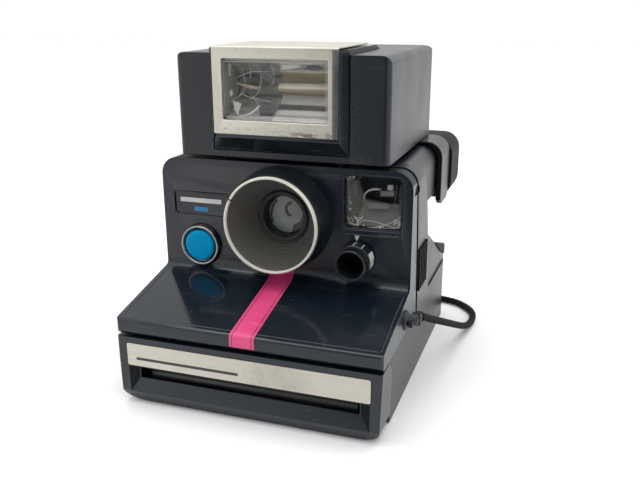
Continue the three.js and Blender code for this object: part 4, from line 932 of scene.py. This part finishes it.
# light caught in the clear moulding
bm = bmesh.new()
for w_, pts_ in ((0.22, ((32.3, 72.2), (35.5, 74.4), (41.1, 73.9), (46.8, 72.5), (50.4, 72.2))), (0.2, ((38.6, 71.5), (44.3, 73.2), (49.2, 75.8), (50.6, 77.6))), (0.42, ((30.9, 76.0), (32.6, 74.2), (32.4, 72.5))),
                 (0.34, ((34.6, 75.6), (33.4, 74.4), (32.2, 73.6))), (0.3, ((28.2, 75.4), (29.8, 72.6), (32.0, 71.8))), (0.42, ((49.4, 75.6), (50.2, 73.7), (49.3, 72.0))), (0.16, ((36.5, 71.7), (42.5, 71.75), (49.0, 72.0)))):
    ribbon([(v.x, 46.43, v.y) for v in curve_pts([Vector(p) for p in pts_], 5)], w_, 0.12, bm=bm)
obj_from(bm, "finder_light_lines", "glint", "camera_body", smooth=0)
# painted highlights: faint light lines in the finder, in the baffle grey
bm = bmesh.new()
for w_, pts_ in ((0.22, ((28.7, 91.8), (28.9, 84.0), (29.1, 77.4))), (0.18, ((34.2, 93.0), (31.7, 89.4), (32.1, 84.3), (34.2, 82.6))), (0.16, ((29.2, 77.4), (35.5, 77.2))), (0.16, ((48.6, 90.5), (48.4, 86.0), (47.6, 81.0)))):
    ribbon([(v.x, 46.44, v.y) for v in curve_pts([Vector(p) for p in pts_], 5)], w_, 0.1, bm=bm)
obj_from(bm, "finder_faint_highlights", "well_light", "camera_body", smooth=0)
# painted highlight: a bright arc standing for a reflection on the finder's front element
arc = [(34.6, 81.9), (34.4, 83.4), (34.9, 85.0), (36.2, 86.3), (38.2, 87.0), (40.2, 87.2), (41.6, 87.0)]
bm = bmesh.new()
prev = None
for i, (x, z) in enumerate(arc):
    a, b = arc[max(i - 1, 0)], arc[min(i + 1, len(arc) - 1)]
    d = Vector((b[0] - a[0], 0, b[1] - a[1])).normalized()
    n = Vector((-d.z, 0, d.x))
    w_ = (0.16, 0.22, 0.30, 0.36, 0.42, 0.40, 0.2)[i]
    cur = [bm.verts.new(P(x + n.x * w_ * c, 49.3 + e, z + n.z * w_ * c)) for c, e in ((-1, 0.0), (0, -0.25), (1, 0.0), (0, 0.15))]
    if prev:
        for k in range(4):
            bm.faces.new((prev[k], prev[(k + 1) % 4], cur[(k + 1) % 4], cur[k]))
    else:
        bm.faces.new(cur)
    prev = cur
bm.faces.new(prev[::-1])
obj_from(bm, "finder_arc_highlight", "glint", "camera_body", smooth=50)
# painted glints: small bright flakes on the window's face standing for light caught in the clear moulding's corners
bm = bmesh.new()
rnd = random.Random(5)
for cx, cz, n_, sx, sz in ((31.4, 73.6, 16, 2.9, 2.4), (49.2, 73.8, 9, 1.2, 2.2), (29.6, 91.6, 6, 1.6, 1.0), (39.5, 71.9, 7, 6.5, 0.35), (29.4, 82.0, 5, 0.4, 3.6)):
    for k in range(n_):
        x, z = cx + rnd.uniform(-sx, sx), cz + rnd.uniform(-sz, sz)
        x, z = min(max(x, 27.3), 51.1), min(max(z, 71.5), 92.8)
        a = rnd.uniform(0, math.pi)
        l, h = rnd.uniform(0.35, 1.3), rnd.uniform(0.08, 0.34)
        ux, uz = math.cos(a), math.sin(a)
        pts = [(x + ux * l, 46.44, z + uz * l), (x - uz * h, 46.43, z + ux * h), (x - ux * l, 46.44, z - uz * l), (x + uz * h, 46.45, z - ux * h)]
        if min(p[0] for p in pts) < 26.9 or max(p[0] for p in pts) > 51.8 or min(p[2] for p in pts) < 71.3:
            continue
        a_ = [bm.verts.new(P(*p)) for p in pts]
        t_ = bm.verts.new(P(x, 46.36, z))
        b_ = bm.verts.new(P(x, 46.6, z))
        for i in range(4):
            bm.faces.new((a_[i], a_[(i + 1) % 4], t_))
            bm.faces.new((a_[(i + 1) % 4], a_[i], b_))
obj_from(bm, "finder_corner_glints", "glint", "camera_body", smooth=0)

# painted shade: a dark ring in the gap round the button
obj_from(lathe([(7.0, 46.3), (7.0, 43.4), (7.11, 43.2), (7.11, 46.3)], BX, BZ, 64, close=True), "button_gap", "groove", "camera_body", smooth=30)

# ------------------------------------------------------------------ fillet where the deck meets the panel, beads along the deck's edges
fil = [(44.0, 51.2), (43.93, 49.9), (43.65, 48.75), (43.05, 47.75), (42.1, 46.98), (40.9, 46.4), (39.3, 45.86), (37.8, 45.5)]
for tag, x0, x1 in (("a", -55.3, 55.3),):
    obj_from(prism([(y, z) for y, z in fil] + [(44.3, 46.0)], x0, x1, axis="X"), "deck_fillet_" + tag, "panel", "camera_body", smooth=50)


def deck_z(y):
    return 37.6 + (y - 1.1) * (46.5 - 37.6) / (42.6 - 1.1)


bm = bmesh.new()
for side in (1, -1):
    line = [(side * (54.35 - 0.25 * math.sin(i / 12 * math.pi)), 2.6 + i * 3.1, deck_z(2.6 + i * 3.1) + 0.02) for i in range(13)]
    prev = None
    for i, (x, y, z) in enumerate(line):
        h = 0.16 if 0 < i < 12 else 0.02
        cur = [bm.verts.new(P(x + dx, y, z + dz)) for dx, dz in ((-0.5, -0.2), (-0.3, h * 0.7), (0.0, h), (0.3, h * 0.7), (0.5, -0.2))]
        if prev:
            for k in range(5):
                bm.faces.new((prev[k], prev[(k + 1) % 5], cur[(k + 1) % 5], cur[k]))
        else:
            bm.faces.new(cur)
        prev = cur
    bm.faces.new(prev[::-1])
obj_from(bm, "deck_beads", "panel_trim", "camera_body", smooth=50)
bm = bmesh.new()
prev = None
for i in range(29):
    x = -53.6 + 107.2 * i / 28
    h = 0.15 if 0 < i < 28 else 0.02
    cur = [bm.verts.new(P(x, y, deck_z(y) + dz)) for y, dz in ((2.2, -0.2), (2.4, h * 0.7), (2.65, h), (2.9, h * 0.7), (3.1, -0.2))]
    if prev:
        for k in range(5):
            bm.faces.new((prev[k], prev[(k + 1) % 5], cur[(k + 1) % 5], cur[k]))
    else:
        bm.faces.new(cur)
    prev = cur
bm.faces.new(prev[::-1])
obj_from(bm, "deck_front_bead", "panel_trim", "camera_body", smooth=50)

# ------------------------------------------------------------------ stripe decal following the panel, fillet, deck and lip
def offset_line(line, t):
    out = []
    for i, p in enumerate(line):
        a, b = Vector(line[max(i - 1, 0)]), Vector(line[min(i + 1, len(line) - 1)])
        d = (b - a).normalized()
        out.append((p[0] + d.y * t, p[1] - d.x * t))
    return out


dec = [(44.0, 53.4), (44.0, 51.2)] + fil[1:] + [(30.0, deck_z(30)), (20.0, deck_z(20)), (10.0, deck_z(10)), (3.2, deck_z(3.2)), (1.2, 37.62), (0.45, 37.25), (0.02, 36.5), (0.0, 35.9), (0.0, 32.6)]
inner_l, outer_l = offset_line(dec, 0.05), offset_line(dec, 0.26)
if outer_l[8][1] < inner_l[8][1]:
    inner_l, outer_l = offset_line(dec, -0.05), offset_line(dec, -0.26)
bm = bmesh.new()
NX = 10
cols_ = []
for i in range(NX + 1):
    x = -5.25 + 10.5 * i / NX
    top = LZ - math.sqrt(max(0.0, 22.45 ** 2 - x * x))
    o_, n_ = [list(p) for p in outer_l], [list(p) for p in inner_l]
    o_[0][1] = n_[0][1] = top
    loop = [bm.verts.new(P(x, y, z)) for y, z in o_ + n_[::-1]]
    cols_.append(loop)
for a, b in zip(cols_, cols_[1:]):
    for k in range(len(a)):
        j = (k + 1) % len(a)
        bm.faces.new((a[k], a[j], b[j], b[k]))
half = len(outer_l)
for loop, flip in ((cols_[0], False), (cols_[-1], True)):
    for k in range(half - 1):
        q = (loop[k], loop[k + 1], loop[2 * half - 2 - k], loop[2 * half - 1 - k])
        bm.faces.new(q[::-1] if flip else q)
obj_from(bm, "stripe_decal_fine", "decal", "camera_body", "stripe_decal", smooth=50)

# ------------------------------------------------------------------ label: one plain dark bar
bm = prism(rrect(-47.4, -2.0, 20.3, 21.5, 0.3, 3), -0.24, -0.19)
obj_from(bm, "label_bar", "pin", "film_door", smooth=0)

# ------------------------------------------------------------------ frame counter: graduations round the wheel's face
bm = bmesh.new()
for k in range(10):
    a_ = 2 * math.pi * k / 10 + 0.2
    ca, sa = math.cos(a_), math.sin(a_)
    r0_, r1_, h_ = (4.6, 6.9, 0.32) if k % 5 else (3.9, 6.9, 0.55)
    prism([(-30 + r0_ * ca - h_ * sa, 16 + r0_ * sa + h_ * ca), (-30 + r1_ * ca - h_ * sa, 16 + r1_ * sa + h_ * ca), (-30 + r1_ * ca + h_ * sa, 16 + r1_ * sa - h_ * ca), (-30 + r0_ * ca + h_ * sa, 16 + r0_ * sa - h_ * ca)], 134.98, 135.08, bm=bm)
obj_from(bm, "counter_graduations", "pin", "counter_wheel", smooth=0)

# ------------------------------------------------------------------ flash: reflector trough, tube, end facets, window border
FLASH_FRONT, FLASH_TOP = 43.3, 140.4
KP = 14.8 / 144
# painted reflection: each facet of the reflector trough gets a flat tone for the light and dark bands seen in the
# chrome
edges_z = [138.9, 137.2, 135.4, 134.0, 133.3, 132.6, 131.2, 130.0, 128.8, 127.4, 126.0, 124.6, 123.0, 121.8, 120.6, 119.6, 118.3, 117.7, 117.0, 116.2, 115.3, 113.9]
tone_r = ["r_grey", "r_grey", "r_end", "r_grey", "r_white", "r_brown", "r_brown", "r_brown", "r_grey", "r_brown", "r_white", "r_brown", "r_white", "r_white", "r_white", "r_shade", "r_shade", "r_white", "r_white", "r_grey", "r_white"]
tone_l = ["r_grey", "r_end", "r_end", "r_grey", "r_end", "r_end", "r_shade", "r_end", "r_end", "r_shade", "r_end", "r_end", "r_shade", "r_end", "r_grey", "r_end", "r_end", "r_grey", "r_end", "r_grey", "r_grey"]


def trough(name, x0, x1, tones, rep=()):
    bm = bmesh.new()
    idx = []
    prof = [(max(41.2, 56 - KP * (z - 126.4) ** 2), z) for z in edges_z]
    back = [(y + 0.9, z + (0.35 if z > 126.4 else -0.35) * min(1, abs(z - 126.4) / 6)) for y, z in prof]
    loops = []
    for x in (x0, x1):
        loops.append([bm.verts.new(P(x, y, z)) for y, z in prof + back[::-1]])
    a, b = loops
    n = len(prof)
    tone_of = {}
    for k in range(2 * n):
        j = (k + 1) % (2 * n)
        f = bm.faces.new((a[k], a[j], b[j], b[k]))
        tone_of[f] = tones[k] if k < n - 1 else "r_mid"
    for loop in loops:
        for k in range(n - 1):
            f = bm.faces.new((loop[k], loop[k + 1], loop[2 * n - 2 - k], loop[2 * n - 1 - k]))
            tone_of[f] = "r_mid"
    names = sorted(set(tone_of.values()))
    bm.faces.index_update()
    order = [names.index(tone_of[f]) for f in bm.faces]
    for f, k in zip(bm.faces, order):
        f.material_index = k
    o = obj_from(bm, name, names[0], "flash_unit", rep, smooth=0)
    for m_ in names[1:]:
        o.data.materials.append(MAT[m_])
    return o


trough("flash_reflector_fine", -2.6, 23.2, tone_r, "flash_reflector")
trough("flash_reflector_end", -22.6, -2.7, tone_l)
# painted reflection tones on the reflector's end cheek and wall
bm = bmesh.new()
prism([(41.3, 115.2), (41.3, 137.6), (45, 136.6), (49, 134.9), (53, 131.8), (55.9, 126.4), (53, 121.0), (49, 117.9), (45, 116.2)], 23.25, 23.7, axis="X", bm=bm)
obj_from(bm, "flash_reflector_cheek", "r_brown", "flash_unit", smooth=0)
bm = bmesh.new()
prism([(41.3, 115.2), (41.3, 137.6), (45, 136.6), (49, 134.9), (53, 131.8), (55.9, 126.4), (53, 121.0), (49, 117.9), (45, 116.2)], -23.15, -22.7, axis="X", bm=bm)
obj_from(bm, "flash_reflector_wall", "r_end", "flash_unit", smooth=0)
# tube: bright above, shaded below
bm = bmesh.new()
rings_ = []
for x, r in ((-2.5, 1.15), (-2.2, 1.7), (-1.6, 2.05), (20.4, 2.05), (21.2, 1.8), (21.6, 1.2)):
    rings_.append([bm.verts.new(P(x, 50 + r * math.cos(2 * math.pi * i / 20), 126.4 + r * math.sin(2 * math.pi * i / 20))) for i in range(20)])
for a, b in zip(rings_, rings_[1:]):
    for i in range(20):
        bm.faces.new((a[i], a[(i + 1) % 20], b[(i + 1) % 20], b[i]))
bm.faces.new(rings_[0][::-1])
bm.faces.new(rings_[-1])
tb = obj_from(bm, "flash_tube_fine", "tube_hi", "flash_unit", "flash_tube", smooth=40)
tb.data.materials.append(MAT["tube_lo"])
for p in tb.data.polygons:
    if p.normal.z < 0.05:
        p.material_index = 1
Y0 = 43.0
bm = bmesh.new()
prism([(-19.2, 128.7), (-13.0, 127.7), (-9.4, 127.0), (-9.2, 126.0), (-13.2, 126.4), (-18.6, 127.8)], Y0 + 1.2, Y0 + 2.4, bm=bm)
o = obj_from(bm, "flash_tube_end", "tube_lo", "flash_unit", smooth=0)
bevel(o, 0.0004, 2, 20)
# painted highlights: curved light lines standing for reflections in the moulded end's facets
arcs_ = {
    "A": [(-19.9, 136.9), (-16.8, 134.9), (-14.9, 131.4), (-14.4, 127.9), (-15.6, 125.0), (-18.0, 122.8), (-20.5, 121.8)],
    "B": [(-11.2, 137.1), (-8.6, 134.4), (-7.5, 130.9), (-8.0, 127.4), (-9.7, 124.1), (-12.9, 121.9)],
    "C": [(-3.2, 136.3), (-2.0, 133.2), (-2.2, 129.7), (-3.6, 127.5)],
    "E": [(-13.2, 137.0), (-12.0, 133.8), (-12.2, 130.6)],
    "F": [(-12.4, 124.6), (-9.8, 121.2), (-9.0, 117.4), (-9.6, 114.9)],
    "G": [(-21.3, 129.8), (-17.0, 131.2), (-11.0, 133.2), (-3.6, 133.4)],
    "H": [(-16.4, 124.2), (-13.2, 123.2), (-9.4, 122.4), (-3.2, 121.4)],
}
bm = bmesh.new()
for k_, pts in arcs_.items():
    ribbon([(v.x, Y0 + 0.2, v.y) for v in curve_pts([Vector((x, z)) for x, z in pts], 5)], 0.28, 0.2, bm=bm)
obj_from(bm, "flash_end_highlight_lines", "glint_soft", "flash_unit", smooth=0)
bm = bmesh.new()
ribbon([(v.x, Y0, v.y) for v in curve_pts([Vector(p) for p in ((-17.9, 114.9), (-13.9, 115.7), (-10.7, 117.6), (-8.3, 119.8))], 5)], 0.75, 0.3, bm=bm)
prism([(-20.1, 121.6), (-16.5, 120.3), (-18.1, 115.0), (-19.5, 117.6)], Y0 - 0.2, Y0 + 0.1, bm=bm)
prism([(-21.6, 136.5), (-20.3, 135.9), (-20.8, 131.1), (-21.5, 131.4)], Y0 - 0.2, Y0 + 0.1, bm=bm)
prism([(-21.2, 125.5), (-20.3, 125.9), (-20.0, 124.1), (-20.8, 122.9), (-21.3, 123.9)], Y0 - 0.2, Y0 + 0.1, bm=bm)
prism([(-0.1, 136.8), (6.4, 136.7), (8.8, 135.2), (3.4, 134.2), (-0.6, 133.7)], Y0 + 3.4, Y0 + 3.6, bm=bm)
obj_from(bm, "flash_end_glints", "flake", "flash_unit", smooth=0)
# painted shade: dark patches standing for the dark reflections in the reflector's end
bm = bmesh.new()
prism([(-7.4, 135.4), (-3.6, 136.2), (-2.9, 130.2), (-7.2, 129.9)], Y0 + 0.8, Y0 + 1.0, bm=bm)
prism([(-8.2, 123.1), (-3.0, 123.3), (-2.9, 115.0), (-8.6, 115.2)], Y0 + 0.8, Y0 + 1.0, bm=bm)
prism([(9.9, 134.4), (12.2, 136.9), (15.2, 136.6), (17.6, 134.4), (14.6, 133.9)], Y0 + 3.4, Y0 + 3.6, bm=bm)
obj_from(bm, "flash_end_shades", "r_dark", "flash_unit", smooth=0)
# moulded border of the window: two stepped frames
bm = prism(rrect(-23.6, 23.6, 113.1, 139.7, 0.8, 3), 38.45, 38.88, holes=[rrect(-21.6, 21.4, 115.6, 137.2, 0.4, 3)])
o = obj_from(bm, "flash_window_border", "pane_edge", "flash_unit", smooth=0)
# painted highlight lines along the border's stepped edges
bm = bmesh.new()
for x0_, x1_, z0_, z1_, y_ in ((-21.75, 21.55, 115.45, 137.35, 38.42), (-22.35, 22.3, 114.4, 138.35, 38.42)):
    loop_ = [(x0_, y_, z0_), (x1_, y_, z0_), (x1_, y_, z1_), (x0_, y_, z1_)]
    for i in range(4):
        ribbon([loop_[i], loop_[(i + 1) % 4]], 0.22, 0.12, bm=bm, taper=False)
obj_from(bm, "flash_window_lines", "glint_soft", "flash_unit", smooth=0)

# bevelled side strip of the frame, in the darker painted-shade copy of the silver
bm = prism([(24.2, 37.66), (24.3, 37.6), (26.6, 37.64), (26.72, 37.7), (26.72, 38.4), (24.2, 37.9)], 108.7, 142.5, axis="Z")
obj_from(bm, "flash_frame_edge", "frame_edge", "flash_unit", smooth=30)

bm = prism([(-27.55, 43.2), (-27.6, 38.3), (-27.3, 37.85), (-26.85, 37.75), (-26.78, 38.2), (-26.78, 43.2)], 106.6, 142.75, axis="Z")
obj_from(bm, "flash_head_rim", "head", "flash_unit", smooth=30)

# gold-brown dust in the corner between head and case
bm = bmesh.new()
rnd = random.Random(11)
for k in range(620):
    zz = 99.2 + (rnd.random() ** 0.85) * 42
    xx = 29.75 + abs(rnd.gauss(0, 1.7))
    if rnd.random() < 0.22:
        xx, zz = 30 + rnd.random() * 9, 98.5 + abs(rnd.gauss(0, 1.6))
    if xx > 44 or zz > 141.5 or zz < 98.2:
        continue
    r_ = rnd.uniform(0.045, 0.105) * (1.1 if zz < 125 else 0.85)
    y_ = FLASH_FRONT - 0.015
    c_ = [bm.verts.new(P(xx + r_ * math.cos(a) * rnd.uniform(0.7, 1.3), y_, zz + r_ * math.sin(a) * rnd.uniform(0.7, 1.3))) for a in (0.3, 1.6, 2.9, 4.1, 5.3)]
    t_ = bm.verts.new(P(xx, y_ - 0.06, zz))
    b_ = bm.verts.new(P(xx, y_ + 0.08, zz))
    for i in range(5):
        bm.faces.new((c_[i], c_[(i + 1) % 5], t_))
        bm.faces.new((c_[(i + 1) % 5], c_[i], b_))
for k in range(60):
    xx, yy = rnd.uniform(29.6, 33), rnd.uniform(44, 70)
    r_ = rnd.uniform(0.06, 0.16)
    c_ = [bm.verts.new(P(xx + r_ * math.cos(a), yy + r_ * math.sin(a), FLASH_TOP + 0.01)) for a in (0.3, 1.6, 2.9, 4.1, 5.3)]
    t_ = bm.verts.new(P(xx, yy, FLASH_TOP + 0.06))
    b_ = bm.verts.new(P(xx, yy, FLASH_TOP - 0.06))
    for i in range(5):
        bm.faces.new((c_[i], c_[(i + 1) % 5], t_))
        bm.faces.new((c_[(i + 1) % 5], c_[i], b_))
obj_from(bm, "flash_dust", "spark", "flash_unit", smooth=0)

# ------------------------------------------------------------------ stage
def area(name, loc, size, energy, target=(0, 0, 0.06), color=(1, 1, 1)):
    d = bpy.data.lights.new(name, "AREA")
    d.shape, d.size, d.size_y = "RECTANGLE", size[0], size[1]
    d.energy, d.color = energy, color
    o = bpy.data.objects.new(name, d)
    o.location = loc
    o.rotation_euler = (Vector(target) - Vector(loc)).to_track_quat("-Z", "Y").to_euler()
    SCENE.collection.objects.link(o)
    return o


bm = bmesh.new()
bmesh.ops.create_grid(bm, x_segments=1, y_segments=1, size=3.0)
me = bpy.data.meshes.new("floor")
bm.to_mesh(me)
bm.free()
floor = bpy.data.objects.new("floor", me)
floor.location = (0, 0, -0.0002)
SCENE.collection.objects.link(floor)
fm = Mat("floor_pale")
fm.set(Base_Color=fm.mix(fm.noise(3, 2), (0.93, 0.93, 0.93), (0.95, 0.95, 0.95)), Roughness=0.8)
me.materials.append(fm.m)

# dark cloth in front of the floor's far edge, out of the picture
bm = bmesh.new()
vs = [bm.verts.new(P(*c)) for c in ((-95, -118, 0.1), (420, -118, 0.1), (420, -700, 0.1), (-185, -700, 0.1))]
bm.faces.new(vs)
vs = [bm.verts.new(P(*c)) for c in ((-185, -700, 0.1), (420, -700, 0.1), (420, -700, 420), (-185, -700, 420))]
bm.faces.new(vs)
me = bpy.data.meshes.new("flag")
bm.to_mesh(me)
bm.free()
flag = bpy.data.objects.new("flag", me)
SCENE.collection.objects.link(flag)
fm2 = Mat("flag_dark")
fm2.set(Base_Color=fm2.mix(fm2.noise(3, 2), (0.02, 0.02, 0.02), (0.03, 0.03, 0.03)), Roughness=0.9)
me.materials.append(fm2.m)

area("key_top", (0.0, -0.05, 1.1), (1.2, 1.0), 6.5)
w = bpy.data.worlds.new("world")
SCENE.world = w
w.use_nodes = True
w.node_tree.nodes["Background"].inputs[0].default_value = (1, 1, 1, 1)
w.node_tree.nodes["Background"].inputs[1].default_value = 1.06
SCENE.view_settings.view_transform = "Standard"

bpy.context.view_layer.update()
